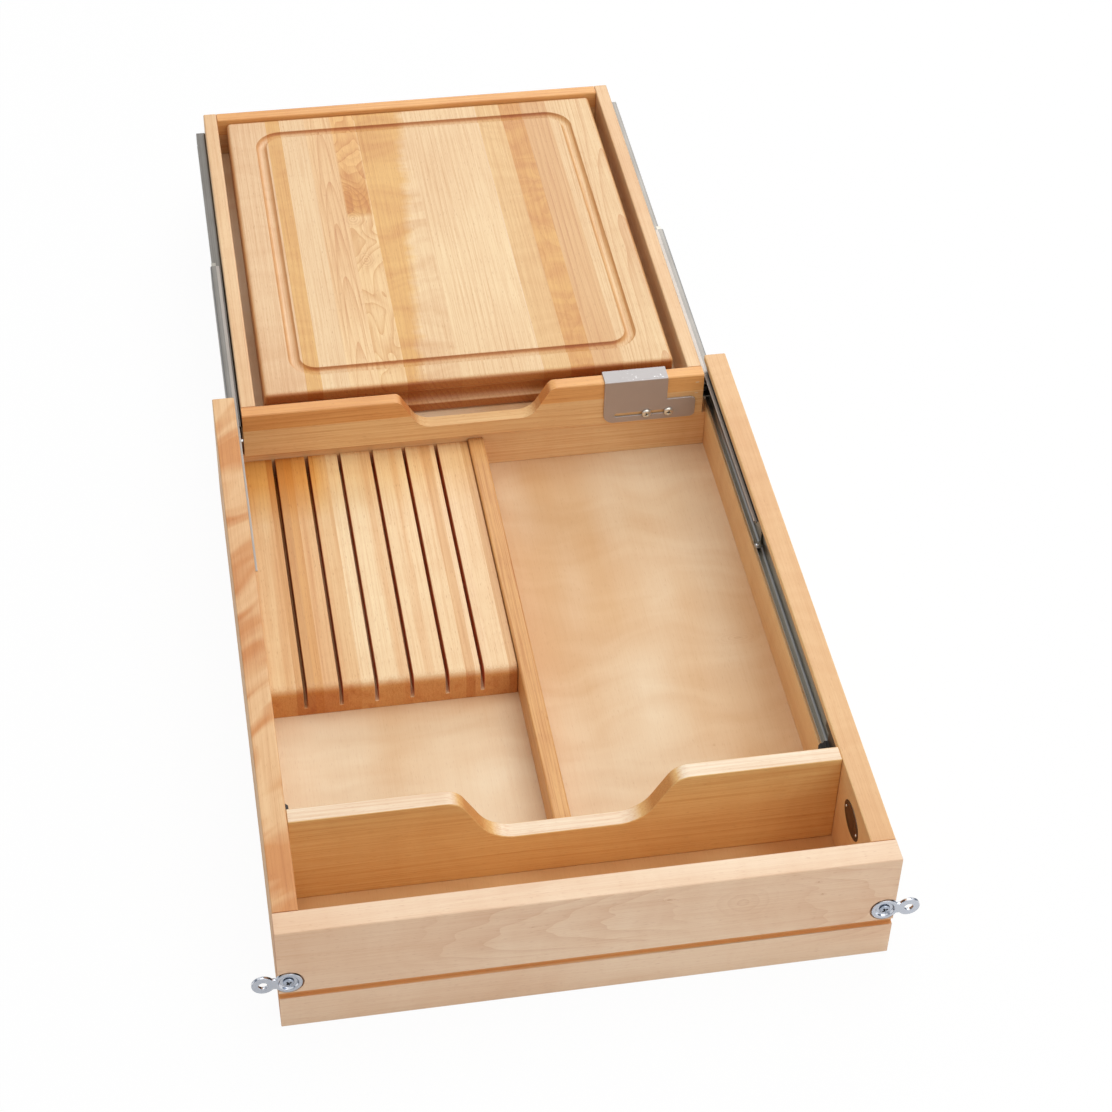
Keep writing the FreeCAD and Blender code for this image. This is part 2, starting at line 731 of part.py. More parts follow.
# Bent plate that hooks over the tray's front wall and slides along it on two screws. Its tab reaches
# out beside the tray, to catch the nose of the end stop.
def latch_plate():
    back = tray_front_y - running_gap
    front = back - latch_thk
    tip = latch_right_x + latch_tab_reach
    top = tray_top_z + running_gap + latch_thk
    plate = box(latch_left_x, latch_right_x, front, back, latch_bottom_z, top)
    plate = plate.makeFillet(latch_corner_r, edges_where(
        plate, lambda e: e.BoundBox.YLength > latch_thk / 2 and e.BoundBox.XMax < latch_left_x + 0.1
        and e.BoundBox.ZMax < latch_bottom_z + 0.1))
    tab = box(latch_right_x - overcut, tip, front, back, latch_bottom_z, latch_tab_top_z)
    tab = tab.makeFillet(latch_tip_r, edges_where(
        tab, lambda e: e.BoundBox.YLength > latch_thk / 2 and e.BoundBox.XMin > tip - 0.1))
    behind = tray_front_y + tray_wall + running_gap
    flange_end = behind + latch_overhang
    flange = box(latch_left_x, latch_right_x, front, flange_end, tray_top_z + running_gap, top)
    lip = box(latch_left_x, latch_right_x, behind, flange_end, top - latch_lip_height, top)
    latch = join([plate, tab, flange, lip])
    latch = latch.makeFillet(latch_bend_r, edges_where(
        latch, lambda e: e.BoundBox.XLength > latch_width / 2 and e.BoundBox.ZMin > top - 0.01
        and (e.BoundBox.YMax < front + 0.01 or e.BoundBox.YMin > flange_end - 0.01)))
    half = latch_slot_half_h
    slot_x0 = latch_left_x + latch_slot_start + half
    slot_x1 = latch_screw_xs[-1] + latch_screw_r + latch_slot_play - half
    slot = box(slot_x0, slot_x1, front - overcut, back + overcut, latch_slot_z - half, latch_slot_z + half)
    ends = [cylinder_y(half, x, latch_slot_z, front - overcut, back + overcut) for x in (slot_x0, slot_x1)]
    return cut(latch, [slot] + ends)


# The latch's two pan-head screws stop short of the groove that the tray's floor sits in.
def latch_screw(x):
    return headed(V(x, latch_screw_end_y, latch_slot_z), V(0, -1, 0), latch_screw_r,
                  latch_screw_end_y - latch_under_head_y, latch_screw_head_r, latch_screw_head_height)


# Figure-eight fastener: the large lobe is dished in front for the pivot screw that it turns on.
def eight_right():
    y0 = -eight_proud
    y1 = y0 + eight_thk
    small_x = eight_x + eight_pitch
    middle = V(eight_x, y0, eight_z)
    back = V(0, 1, 0)
    big = round_bar(middle, back, eight_big_r, eight_thk, eight_sides)
    small = round_bar(V(small_x, y0, eight_z), back, eight_small_r, eight_thk, eight_sides)
    neck = box(eight_x, small_x, y0, y1, eight_z - eight_neck_half, eight_z + eight_neck_half)
    body = join([big, small, neck])
    dish = turned(middle, back, [(0, eight_dish_r), (eight_dish_depth, eight_dish_floor_r)], eight_sides)
    pivot = round_bar(middle, back, screw_r + running_gap, eight_thk + overcut)
    hole = cylinder_y(eight_hole_r, small_x, eight_z, y0 - overcut, y1 + overcut)
    return cut(body, [dish, pivot, hole])


def eight_screw():
    return headed(V(eight_x, eight_screw_length, eight_z), V(0, -1, 0), screw_r,
                  eight_screw_length - eight_under_head_y, eight_screw_head_r, eight_screw_head_height)


def both_sides(shapes):
    return Part.makeCompound(shapes + [mirrored(shape) for shape in shapes])


def place_and_export(name, shape):
    moved = shape.copy()
    moved.translate(V(0, -origin_y, 0))
    moved.exportStep(os.path.join("parts", name + ".step"))


def export_pair(name, shape):
    place_and_export(name + "_right", shape)
    place_and_export(name + "_left", mirrored(shape))


def main():
    os.makedirs("parts", exist_ok=True)
    export_pair("drawer_side", side_right())
    place_and_export("front_board", front_board())
    place_and_export("rear_wall", rear_wall())
    place_and_export("drawer_floor", drawer_floor())
    place_and_export("cross_divider", cross_divider())
    place_and_export("long_divider", long_divider())
    place_and_export("knife_block", knife_block())
    export_pair("outer_rail", outer_rail())
    export_pair("rail_stop", rail_stop())
    place_and_export("outer_rail_screws", both_sides([outer_screw(y) for y in outer_screw_ys()]))
    export_pair("outer_cage", outer_cage())
    export_pair("outer_balls", outer_balls())
    export_pair("middle_rail", middle_rail())
    export_pair("inner_cage", inner_cage())
    export_pair("inner_balls", inner_balls())
    export_pair("inner_rail", inner_rail())
    place_and_export("inner_rail_screws", both_sides([inner_screw(y) for y in inner_screw_ys()]))
    export_pair("release_lever", release_lever())
    place_and_export("lever_rivets", both_sides([lever_rivet()]))
    place_and_export("tray_front_wall", tray_front_wall())
    place_and_export("tray_rear_wall", tray_rear_wall())
    export_pair("tray_side", tray_side_right())
    place_and_export("tray_floor", tray_floor())
    place_and_export("cutting_board", cutting_board())
    place_and_export("latch_plate", latch_plate())
    place_and_export("latch_screws", Part.makeCompound([latch_screw(x) for x in latch_screw_xs]))
    export_pair("figure_eight", eight_right())
    place_and_export("figure_eight_screws", both_sides([eight_screw()]))


main()
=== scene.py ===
import bpy
import bmesh
import math
import random
from mathutils import Matrix, Vector


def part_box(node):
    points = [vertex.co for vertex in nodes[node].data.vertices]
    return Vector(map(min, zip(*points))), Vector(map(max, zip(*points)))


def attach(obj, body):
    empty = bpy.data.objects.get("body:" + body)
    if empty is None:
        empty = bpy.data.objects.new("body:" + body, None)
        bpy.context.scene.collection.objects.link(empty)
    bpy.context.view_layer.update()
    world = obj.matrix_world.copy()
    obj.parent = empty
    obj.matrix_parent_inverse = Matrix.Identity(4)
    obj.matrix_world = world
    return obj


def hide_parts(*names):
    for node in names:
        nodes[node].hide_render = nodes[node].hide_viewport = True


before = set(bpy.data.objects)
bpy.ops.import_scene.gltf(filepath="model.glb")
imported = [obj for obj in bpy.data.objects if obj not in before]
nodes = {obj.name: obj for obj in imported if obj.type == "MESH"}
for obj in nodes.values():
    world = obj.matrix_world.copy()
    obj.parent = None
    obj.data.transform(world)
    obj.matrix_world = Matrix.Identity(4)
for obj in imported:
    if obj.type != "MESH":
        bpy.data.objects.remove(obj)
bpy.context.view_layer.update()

# Kitchen drawer insert with a rolling tray and a cutting board: looks, lights and camera.
# Everything is in metres. X runs right, Y back, Z up.
random.seed(7)
print("frame loaded:", len(nodes), "solids")


# Tones are written as 0 to 255 and turned into the linear values that shaders take.
def linearTone(tone):
    values = [c / 255 for c in tone]
    return tuple(c / 12.92 if c <= 0.04045 else ((c + 0.055) / 1.055) ** 2.4 for c in values) + (1,)


# Adds a node. Settings are its properties; an input takes a value, or the socket that feeds it.
def addNode(tree, kind, inputs, **settings):
    node = tree.nodes.new("ShaderNode" + kind)
    for key, value in settings.items():
        setattr(node, key, value)
    feed(node, inputs)
    return node


def feed(node, inputs):
    for key, value in inputs.items():
        if isinstance(value, bpy.types.NodeSocket):
            node.id_data.links.new(value, node.inputs[key])
        else:
            node.inputs[key].default_value = value


def treeOf(*values):
    return next(value.id_data for value in values if isinstance(value, bpy.types.NodeSocket))


def mathNode(operation, first, second=0.0, clamp=False):
    return addNode(treeOf(first, second), "Math", {0: first, 1: second}, operation=operation,
                   use_clamp=clamp).outputs[0]


def times(first, second):
    return mathNode("MULTIPLY", first, second)


def plus(first, second):
    return mathNode("ADD", first, second)


# 0 at the first limit, 1 at the second, straight between.
def between(value, start, full):
    return addNode(value.id_data, "MapRange",
                   {"Value": value, "From Min": start, "From Max": full}).outputs["Result"]


def mixTones(factor, first, second, blend="MIX"):
    return addNode(treeOf(factor, first, second), "Mix", {0: factor, 6: first, 7: second}, data_type="RGBA",
                   blend_type=blend).outputs[2]


# Multiplies a tone by a tint where the mask is set.
def tinted(tone, mask, share, tint):
    return mixTones(mathNode("MULTIPLY", mask, share, True), tone, mixTones(1.0, tone, tint, "MULTIPLY"))


def axisOf(vector, axis):
    return addNode(vector.id_data, "SeparateXYZ", {0: vector}).outputs[axis]


# Noise with its own scale along each axis.
def noise(vector, scale, detail=2.0, rough=0.5, distortion=0.0):
    tree = vector.id_data
    place = addNode(tree, "VectorMath", {0: vector, 1: scale}, operation="MULTIPLY").outputs[0]
    return addNode(tree, "TexNoise", {"Vector": place, "Scale": 1.0, "Detail": detail, "Roughness": rough,
                                      "Distortion": distortion}).outputs["Fac"]


vectorInputs = ("Vector", "Normal", "Place", "Reach", "Ragged", "Noise Scale")


# Makes a node group. Labels that end in Tone are colours, vectorInputs are vectors, all others values.
def makeGroup(name, labels, build):
    group = bpy.data.node_groups.new(name, "ShaderNodeTree")

    def addSocket(label, side):
        kind = "Color" if label.endswith("Tone") else "Vector" if label in vectorInputs else "Float"
        group.interface.new_socket(name=label, in_out=side, socket_type="NodeSocket" + kind)

    for label in labels:
        addSocket(label, "INPUT")
    start = group.nodes.new("NodeGroupInput")
    results = build({label: start.outputs[label] for label in labels})
    for label in results:
        addSocket(label, "OUTPUT")
    feed(group.nodes.new("NodeGroupOutput"), results)
    return group


camera = {
    "place": (-0.2502, -1.6048, 1.4796),
    "yaw": -11.0899857, "pitch": -43.10570395, "roll": -1.87301847,
    "lens": 82.192, "sensor": 36.0, "reach": 50,
}
studio = {
    "floorTone": (0.93, 0.93, 0.93, 1), "floorSize": 14.0, "floorHeight": -0.0005, "floorWhite": 0.95,
    "worldLight": 0.5, "worldWhite": 1.0,
    "lamps": [  # name, place, aimed at, width, height, watts
        ("topPanel", (0.35, 0.1, 2.3), (0.0, 0.0, 0.05), 2.4, 2.4, 34),
        ("backPanel", (0.9, 2.4, 1.7), (0.0, 0.2, 0.05), 2.0, 1.2, 20),
        ("frontFill", (1.2, -2.3, 1.5), (0.0, -0.3, 0.05), 2.0, 1.4, 15),
    ],
}


def addCamera():
    data = bpy.data.cameras.new("viewCamera")
    data.lens = camera["lens"]
    data.sensor_width = camera["sensor"]
    data.clip_end = camera["reach"]
    holder = bpy.data.objects.new("viewCamera", data)
    bpy.context.scene.collection.objects.link(holder)
    turn = (Matrix.Rotation(math.radians(camera["yaw"]), 4, "Z")
            @ Matrix.Rotation(math.radians(camera["pitch"]), 4, "X")
            @ Matrix.Rotation(math.radians(camera["roll"]), 4, "Y")
            @ Matrix.Rotation(math.radians(90), 4, "X"))
    holder.matrix_world = Matrix.Translation(Vector(camera["place"])) @ turn
    bpy.context.scene.camera = holder


def addLamps():
    for name, place, aim, width, height, power in studio["lamps"]:
        data = bpy.data.lights.new(name, "AREA")
        data.shape = "RECTANGLE"
        data.size = width
        data.size_y = height
        data.energy = power
        lamp = bpy.data.objects.new(name, data)
        bpy.context.scene.collection.objects.link(lamp)
        lamp.location = place
        lamp.rotation_euler = (Vector(aim) - Vector(place)).to_track_quat("-Z", "Y").to_euler()


# White wherever the eye, a mirror or a glass looks, softer where it lights the object.
def addWorld():
    world = bpy.data.worlds.new("studioWorld")
    bpy.context.scene.world = world
    world.use_nodes = True
    tree = world.node_tree
    tree.nodes.clear()
    rays = addNode(tree, "LightPath", {}).outputs
    seen = mathNode("MAXIMUM", rays["Is Camera Ray"], rays["Is Glossy Ray"])
    seen = mathNode("MAXIMUM", seen, rays["Is Transmission Ray"])
    level = addNode(tree, "MapRange", {"Value": seen, "To Min": studio["worldLight"],
                                       "To Max": studio["worldWhite"]}).outputs["Result"]
    back = addNode(tree, "Background", {"Strength": level})
    addNode(tree, "OutputWorld", {0: back.outputs[0]})


def addFloor():
    bpy.ops.object.select_all(action="DESELECT")
    bpy.ops.mesh.primitive_plane_add(size=studio["floorSize"], location=(0, 0, studio["floorHeight"]))
    floor = bpy.context.object
    floor.name = "studioFloor"
    material = bpy.data.materials.new("studioFloorPaint")
    material.use_nodes = True
    tree = material.node_tree
    tree.nodes.clear()
    matte = addNode(tree, "BsdfDiffuse", {"Color": studio["floorTone"]})
    white = addNode(tree, "Emission", {})
    share = times(addNode(tree, "LightPath", {}).outputs["Is Camera Ray"], studio["floorWhite"])
    mix = addNode(tree, "MixShader", {0: share, 1: matte.outputs[0], 2: white.outputs[0]})
    addNode(tree, "OutputMaterial", {0: mix.outputs[0]})
    floor.data.materials.append(material)


addCamera()
addLamps()
addWorld()
addFloor()
bpy.context.scene.view_settings.view_transform = "Standard"
print("camera, floor and light set")


# Each effect that several finishes share is a node group, built by one of the next functions.

# Maple along Y of the vector: late-wood rings, curl, bands, wild figure, clouds, streaks, fibre and flecks.
def buildMaple(given):
    vector, kept = given["Vector"], given["Curl Kept"]
    across = plus(axisOf(vector, 0), times(axisOf(vector, 2), 0.6))
    slow = noise(vector, (8.0, 1.2, 8.0), 1.0, 0.4, 0.2)
    phase = plus(times(across, given["Lines"]), times(slow, given["Arch"]))
    phase = plus(phase, times(noise(vector, (45.0, 3.2, 45.0)), 1.6))
    broken = between(noise(vector, (26.0, 2.4, 26.0)), 0.35, 0.62)
    rings = times(mathNode("POWER", mathNode("FRACT", phase), 4.0), broken)
    fibre = noise(vector, (1000.0, 12.0, 1000.0), 3.0, 0.6)
    flecks = between(noise(vector, (1500.0, 170.0, 1500.0), 1.0), 0.63, 0.8)
    bend = times(noise(vector, (14.0, 14.0, 14.0), 1.0), 0.06)
    shift = addNode(vector.id_data, "CombineXYZ", {1: bend}).outputs[0]
    turned = addNode(vector.id_data, "VectorMath", {0: vector, 1: shift}, operation="ADD").outputs[0]
    curl = between(noise(turned, (16.0, 62.0, 16.0), 2.0, 0.45), 0.36, 0.7)
    bands = between(noise(turned, (16.0, 42.0, 16.0), 1.6, 0.4, 0.5), 0.38, 0.62)
    blob = noise(turned, (30.0, 13.0, 30.0), 1.0, 0.4, 0.6)
    figure = mathNode("POWER", mathNode("FRACT", times(blob, 7.0)), 3.0)
    streaks = between(noise(vector, (75.0, 2.0, 75.0), 3.0, 0.55), 0.52, 0.7)
    cloud = between(noise(vector, (9.0, 3.0, 9.0)), 0.36, 0.68)
    tone = given["Tone"]
    for mask, share, tint in ((rings, "Rings", "Dark Tone"), (times(curl, kept), "Curl", "Curl Tone"),
                              (times(bands, kept), "Bands", "Curl Tone"), (figure, "Figure", "Figure Tone"),
                              (cloud, "Cloud", "Dark Tone"), (streaks, "Streaks", "Streak Tone"),
                              (between(fibre, 0.42, 0.72), "Fibre", "Dark Tone"),
                              (flecks, "Flecks", "Fleck Tone")):
        tone = tinted(tone, mask, given[share], given[tint])
    return {"Tone": tone, "Fibre": fibre}


# Flat-sawn arches: nested loops that open one way along the grain.
def buildArches(given):
    side = mathNode("DIVIDE", mathNode("SUBTRACT", given["Across"], given["Middle"]), given["Half"])
    phase = plus(times(times(side, side), given["Bow"]), times(given["Along"], given["Per Metre"]))
    phase = plus(phase, times(noise(given["Vector"], given["Noise Scale"]), given["Wander"]))
    loops = mathNode("POWER", mathNode("FRACT", phase), given["Sharp"])
    inside = times(between(mathNode("ABSOLUTE", side), 1.0, 0.85), given["Inside"])
    return {"Loops": times(loops, inside)}


# A small knot: a brown eye with a few dark loops round it, longer along the grain.
def buildKnot(given):
    tree = given["Vector"].id_data
    place = addNode(tree, "Mapping", {"Vector": given["Vector"], "Location": given["Place"],
                                      "Scale": given["Reach"]}, vector_type="TEXTURE").outputs["Vector"]
    length = addNode(tree, "VectorMath", {0: place}, operation="LENGTH").outputs["Value"]
    distance = plus(length, times(noise(given["Vector"], given["Ragged"]), 1.4))
    loops = mathNode("POWER", mathNode("FRACT", times(distance, 1.6)), 3.0)
    loops = times(loops, between(distance, 3.6, 1.2))
    tone = tinted(given["Tone"], loops, given["Strength"], linearTone((196, 128, 66)))
    return {"Tone": tinted(tone, between(distance, 1.5, 0.7), given["Eye"], linearTone((190, 120, 60)))}


# End grain: darker, with short pores instead of long fibre.
def buildEndGrain(given):
    pores = between(noise(given["Vector"], (1400.0, 1400.0, 300.0)), 0.45, 0.75)
    endTone = mixTones(1.0, given["Tone"], given["End Tone"], "MULTIPLY")
    endTone = tinted(endTone, pores, 0.35, given["Dark Tone"])
    share = between(mathNode("ABSOLUTE", given["Facing"]), 0.55, 0.95)
    return {"Tone": mixTones(share, given["Tone"], endTone)}


# A tint of its own inside a mask.
def buildTint(given):
    return {"Tone": tinted(given["Tone"], given["Mask"], given["Share"], given["Tint Tone"])}


# Painted light: the faces that look up get a tone of their own, lighter or darker than the sides, for how the
# light falls on them.
def buildPaintedTopLight(given):
    return {"Tone": mixTones(between(given["Facing"], 0.8, 0.95), given["Tone"], given["Top Tone"])}


# Metals, paint and plastic: a tone broken up by fine scratches, dust and cast grain.
def buildWear(given):
    vector = given["Vector"]
    brushed = noise(vector, (2200.0, 40.0, 2200.0))
    cloud = noise(vector, (60.0, 25.0, 60.0), 3.0)
    speck = noise(vector, (2600.0, 2600.0, 2600.0), 1.0)
    blend = plus(times(cloud, 0.7), times(brushed, 0.3))
    drawn = between(noise(vector, (1500.0, 1.5, 1500.0), 1.0), 0.5, 0.62)
    tone = mixTones(blend, given["Light Tone"], given["Dark Tone"])
    tone = tinted(tone, drawn, given["Drawn"], (0.22, 0.2, 0.17, 1))
    rough = plus(given["Roughness"], times(mathNode("SUBTRACT", blend, 0.5), given["Spread"]))
    return {"Tone": tone, "Roughness": rough, "Height": plus(times(brushed, 0.6), times(speck, 0.4))}


# Painted light: faces that turn away from the flat faces, at rounded edges and bends, take the edge tone, a
# painted highlight where it is lighter and painted shade where it is darker.
def buildPaintedEdgeLight(given):
    straight = 0.0
    for axis in range(3):
        straight = mathNode("MAXIMUM", mathNode("ABSOLUTE", axisOf(given["Normal"], axis)), straight)
    return {"Tone": mixTones(times(between(straight, 0.97, 0.86), 0.8), given["Tone"], given["Edge Tone"])}


groups = {name: makeGroup(name, labels.split(", "), build) for name, labels, build in (
    ("maple", "Tone, Vector, Lines, Arch, Rings, Curl, Curl Kept, Bands, Figure, Cloud, Streaks, Fibre, "
              "Flecks, Dark Tone, Curl Tone, Figure Tone, Streak Tone, Fleck Tone", buildMaple),
    ("arches", "Vector, Noise Scale, Across, Along, Middle, Half, Bow, Per Metre, Wander, Sharp, Inside",
     buildArches),
    ("knot", "Tone, Vector, Place, Reach, Ragged, Strength, Eye", buildKnot),
    ("endGrain", "Tone, Vector, Facing, End Tone, Dark Tone", buildEndGrain),
    ("tint", "Tone, Mask, Share, Tint Tone", buildTint),
    ("topTone", "Tone, Facing, Top Tone", buildPaintedTopLight),
    ("wear", "Vector, Light Tone, Dark Tone, Roughness, Spread, Drawn", buildWear),
    ("paintedEdgeLight", "Tone, Normal, Edge Tone", buildPaintedEdgeLight),
)}


def useGroup(name, inputs):
    return addNode(treeOf(*inputs.values()), "Group", inputs, node_tree=groups[name]).outputs


def addTint(tone, mask, share, tint):
    return useGroup("tint", {"Tone": tone, "Mask": mask, "Share": share,
                             "Tint Tone": linearTone(tint)})["Tone"]


# 1 inside limits along some axes, each given as (axis, where it starts, where it is full).
def insideLimits(coord, limits):
    share = 1.0
    for axis, start, full in limits:
        share = times(between(axisOf(coord, axis), start, full), share)
    return share


# A material with the place and the direction of its faces ready for the other nodes.
def startMaterial(name):
    material = bpy.data.materials.new(name)
    material.use_nodes = True
    tree = material.node_tree
    return (material, tree, tree.nodes["Principled BSDF"], addNode(tree, "TexCoord", {}).outputs["Object"],
            addNode(tree, "NewGeometry", {}).outputs["Normal"])


# Painted light on the faces that look up, then the tints of the zones, some of which are painted shade.
def localTones(look, coord, normal, tone):
    if "up" in look:
        tone = useGroup("topTone", {"Tone": tone, "Facing": axisOf(normal, 2),
                                    "Top Tone": linearTone(look["up"])})["Tone"]
    for limits, tint in look["zones"]:
        tone = addTint(tone, insideLimits(coord, limits), 1.0, tint)
    return tone


def finishShader(shader, look, tone, rough, height, others):
    bump = addNode(shader.id_data, "Bump", {"Strength": look["bump"], "Distance": look["bumpDepth"],
                                            "Height": height}).outputs["Normal"]
    feed(shader, {"Base Color": tone, "Roughness": rough, "Coat Weight": look["coat"], "Normal": bump,
                  **others})


# Slants the grain pattern: its Y slides with the place along X.
def sheared(coord, vector, slope):
    return addNode(coord.id_data, "VectorMath", {0: axisOf(coord, 0), 1: (0.0, -slope, 0.0), 2: vector},
                   operation="MULTIPLY_ADD").outputs[0]


# Tone and character of each glued strip, and a grain vector that jumps from strip to strip.
def staveTones(coord, vector, look):
    tree = coord.id_data
    low, high = look["staveSpan"]
    span = between(axisOf(coord, look.get("staveAxis", 0)), low, high)
    ramps = [addNode(tree, "ValToRGB", {0: span}) for _ in range(3)]
    for index, stave in enumerate(look["staves"]):
        edge, tone, rings, curl, figure, arch = (*stave, *look["staveRest"])[:6]
        jump = (index * 0.37) % 1
        colours = (linearTone(tone), (jump, jump, jump, 1), (rings, curl, figure, arch / 10))
        for ramp, colour in zip(ramps, colours):
            elements = ramp.color_ramp.elements
            if index == 0:
                ramp.color_ramp.interpolation = "CONSTANT"
                elements.remove(elements[-1])
            where = max(0.0, min(1.0, (edge - low) / (high - low)))
            element = elements.new(where) if index else elements[0]
            element.position = where
            element.color = colour
    tones, jumps, marks = ramps
    shift = addNode(tree, "VectorMath", {0: jumps.outputs["Color"], 1: (0.0, 3.1, 2.3), 2: vector},
                    operation="MULTIPLY_ADD").outputs[0]
    split = addNode(tree, "SeparateColor", {0: marks.outputs["Color"]}).outputs
    return tones.outputs["Color"], shift, {"Rings": split[0], "Curl": split[1], "Figure": split[2],
                                           "Arch": times(marks.outputs["Alpha"], 10)}


# Sapwood that starts along a slanting, softly wandering line inside one strip.
def paleSide(coord, tone, side):
    x, y = axisOf(coord, 0), axisOf(coord, 1)
    wander = mathNode("SUBTRACT", noise(coord, (30.0, 70.0, 30.0), 3.0, 0.6), 0.5)
    line = plus(plus(times(y, side["slope"]), side["start"]), times(wander, side["wander"]))
    share = between(mathNode("SUBTRACT", x, line), -side["blur"], side["blur"])
    inside = mathNode("LESS_THAN", x, side["limit"])
    return mixTones(times(share, inside), tone, linearTone(side["tone"]))


def addArch(coord, tone, arch, dark):
    arch = {"across": 0, "along": 1, "noise": (24.0, 5.0, 24.0), "wander": 2.4, "sharp": 5.0, "limits": [],
            "tone": dark, **arch}
    loops = useGroup("arches", {
        "Vector": coord, "Noise Scale": arch["noise"], "Across": axisOf(coord, arch["across"]),
        "Along": axisOf(coord, arch["along"]), "Middle": arch["middle"], "Half": arch["half"],
        "Bow": arch["bow"], "Per Metre": arch["perMetre"], "Wander": arch["wander"], "Sharp": arch["sharp"],
        "Inside": insideLimits(coord, arch["limits"])})["Loops"]
    return addTint(tone, loops, arch["share"], arch["tone"])


# A knot as (across, along, size, how much longer along the grain, strength of loops, strength of eye).
def addKnot(coord, tone, knot, face):
    across, along, size, stretch, strength, eye = knot
    onTop = face == "top"
    return useGroup("knot", {
        "Tone": tone, "Vector": coord, "Place": (across, along, 0) if onTop else (across, 0, along),
        "Reach": (size, size * stretch, 1000) if onTop else (size * stretch, 1000, size),
        "Ragged": (0.25 / size, 0.18 / size, 0.25 / size), "Strength": strength, "Eye": eye})["Tone"]


woodBasics = {
    "offset": (0, 0, 0), "lines": 130, "arch": 2.5, "rings": 0.5, "curl": 0.1, "bands": 0.0, "figure": 0.0,
    "cloud": 0.3, "streaks": 0.0, "fibre": 0.3, "flecks": 0.3, "fleckTone": (190, 130, 84),
    "end": (226, 190, 158), "rough": 0.42, "roughSpread": 0.16, "coat": 0.1, "coatRough": 0.24,
    "bump": 0.12, "bumpDepth": 0.0003, "zones": [], "arches": [], "knots": [], "knotFace": "top",
    "staveRest": (0.0, 1.5),
}


# One wood finish. "grain" is the axis that the grain follows, "light" the wood, "dark" what marks
# multiply it by.
# "staves" are glued strips: (where the strip starts, tone, rings, curl, wild figure, arches).
def woodMaterial(name, look):
    look = {**woodBasics, **{key: look["dark"] for key in ("curlTone", "figureTone", "streakTone")}, **look}
    material, tree, shader, coord, normal = startMaterial(name)
    turn = math.radians(90) if look["grain"] == "x" else 0
    vector = addNode(tree, "Mapping", {"Vector": coord, "Location": look["offset"],
                                       "Rotation": (0, 0, turn)}).outputs["Vector"]
    if "shear" in look:
        vector = sheared(coord, vector, look["shear"])
    base = addNode(tree, "RGB", {}).outputs[0]
    base.default_value = linearTone(look["light"])
    character = {label: look[label.lower()] for label in ("Rings", "Curl", "Figure", "Arch")}
    if "staves" in look:
        base, vector, character = staveTones(coord, vector, look)
    if "paleSide" in look:
        base = paleSide(coord, base, look["paleSide"])
    base = localTones(look, coord, normal, base)
    upwards = axisOf(normal, 2)
    marks = {label: look[label.lower()]
             for label in ("Lines", "Bands", "Cloud", "Streaks", "Fibre", "Flecks")}
    marks.update({label.capitalize() + " Tone": linearTone(look[label + "Tone"])
                  for label in ("curl", "figure", "streak", "fleck")})
    dark = linearTone(look["dark"])
    kept = 1.0
    if "sideCurl" in look:
        kept = plus(times(between(upwards, 0.3, 0.9), 1 - look["sideCurl"]), look["sideCurl"])
    maple = useGroup("maple", {"Tone": base, "Vector": vector, "Dark Tone": dark, "Curl Kept": kept,
                               **marks, **character})
    tone = maple["Tone"]
    for arch in look["arches"]:
        tone = addArch(coord, tone, arch, look["dark"])
    for knot in look["knots"]:
        tone = addKnot(coord, tone, knot, look["knotFace"])
    tone = useGroup("endGrain", {"Tone": tone, "Vector": coord, "Facing": axisOf(normal, 0 if turn else 1),
                                 "End Tone": linearTone(look["end"]), "Dark Tone": dark})["Tone"]
    # Every face that tilts away from the top, from the groove and the rounded rims to the sides, gets a
    # browner tint: partly the cut across the grain, partly painted shade.
    if "cut" in look:
        tone = addTint(tone, between(upwards, 0.985, 0.7), look["cut"][1], look["cut"][0])
    if "kerf" in look:
        # painted shade and bounce light: the walls of the saw-cut slots turn orange-brown with depth below
        # the top face
        kerf = look["kerf"]
        side = between(mathNode("ABSOLUTE", axisOf(normal, 0)), 0.9, 0.98)
        depth = between(axisOf(coord, 2), kerf["top"], kerf["top"] - kerf["fade"])
        tone = addTint(tone, times(side, depth), 1.0, kerf["tone"])
    finishShader(shader, look, tone, plus(times(maple["Fibre"], look["roughSpread"]), look["rough"]),
                 maple["Fibre"], {"Coat Roughness": look["coatRough"]})
    return material


# Bright nicks and short scratches on the faces that look up.
def scuffed(coord, normal, tone, light):
    nicks = between(noise(coord, (420.0, 700.0, 420.0)), 0.62, 0.68)
    patches = between(noise(coord, (70.0, 70.0, 70.0), 1.0), 0.5, 0.62)
    share = times(times(nicks, patches), between(axisOf(normal, 2), 0.8, 0.95))
    return mixTones(share, tone, linearTone(light))


# Painted reflections on the dished faces: light and dark patches that follow the way they look.
def paintedDishReflections(normal, tone, dish):
    patches = between(noise(normal, (dish["scale"],) * 3, 1.0), 0.44, 0.56)
    tilted = between(mathNode("ABSOLUTE", axisOf(normal, 1)), 0.99, 0.95)
    return mixTones(tilted, tone, mixTones(patches, linearTone(dish["dark"]), linearTone(dish["light"])))


finishBasics = {"spread": 0.14, "drawn": 0.0, "metal": 1.0, "coat": 0.0, "bump": 0.08, "bumpDepth": 0.0001,
                "zones": []}


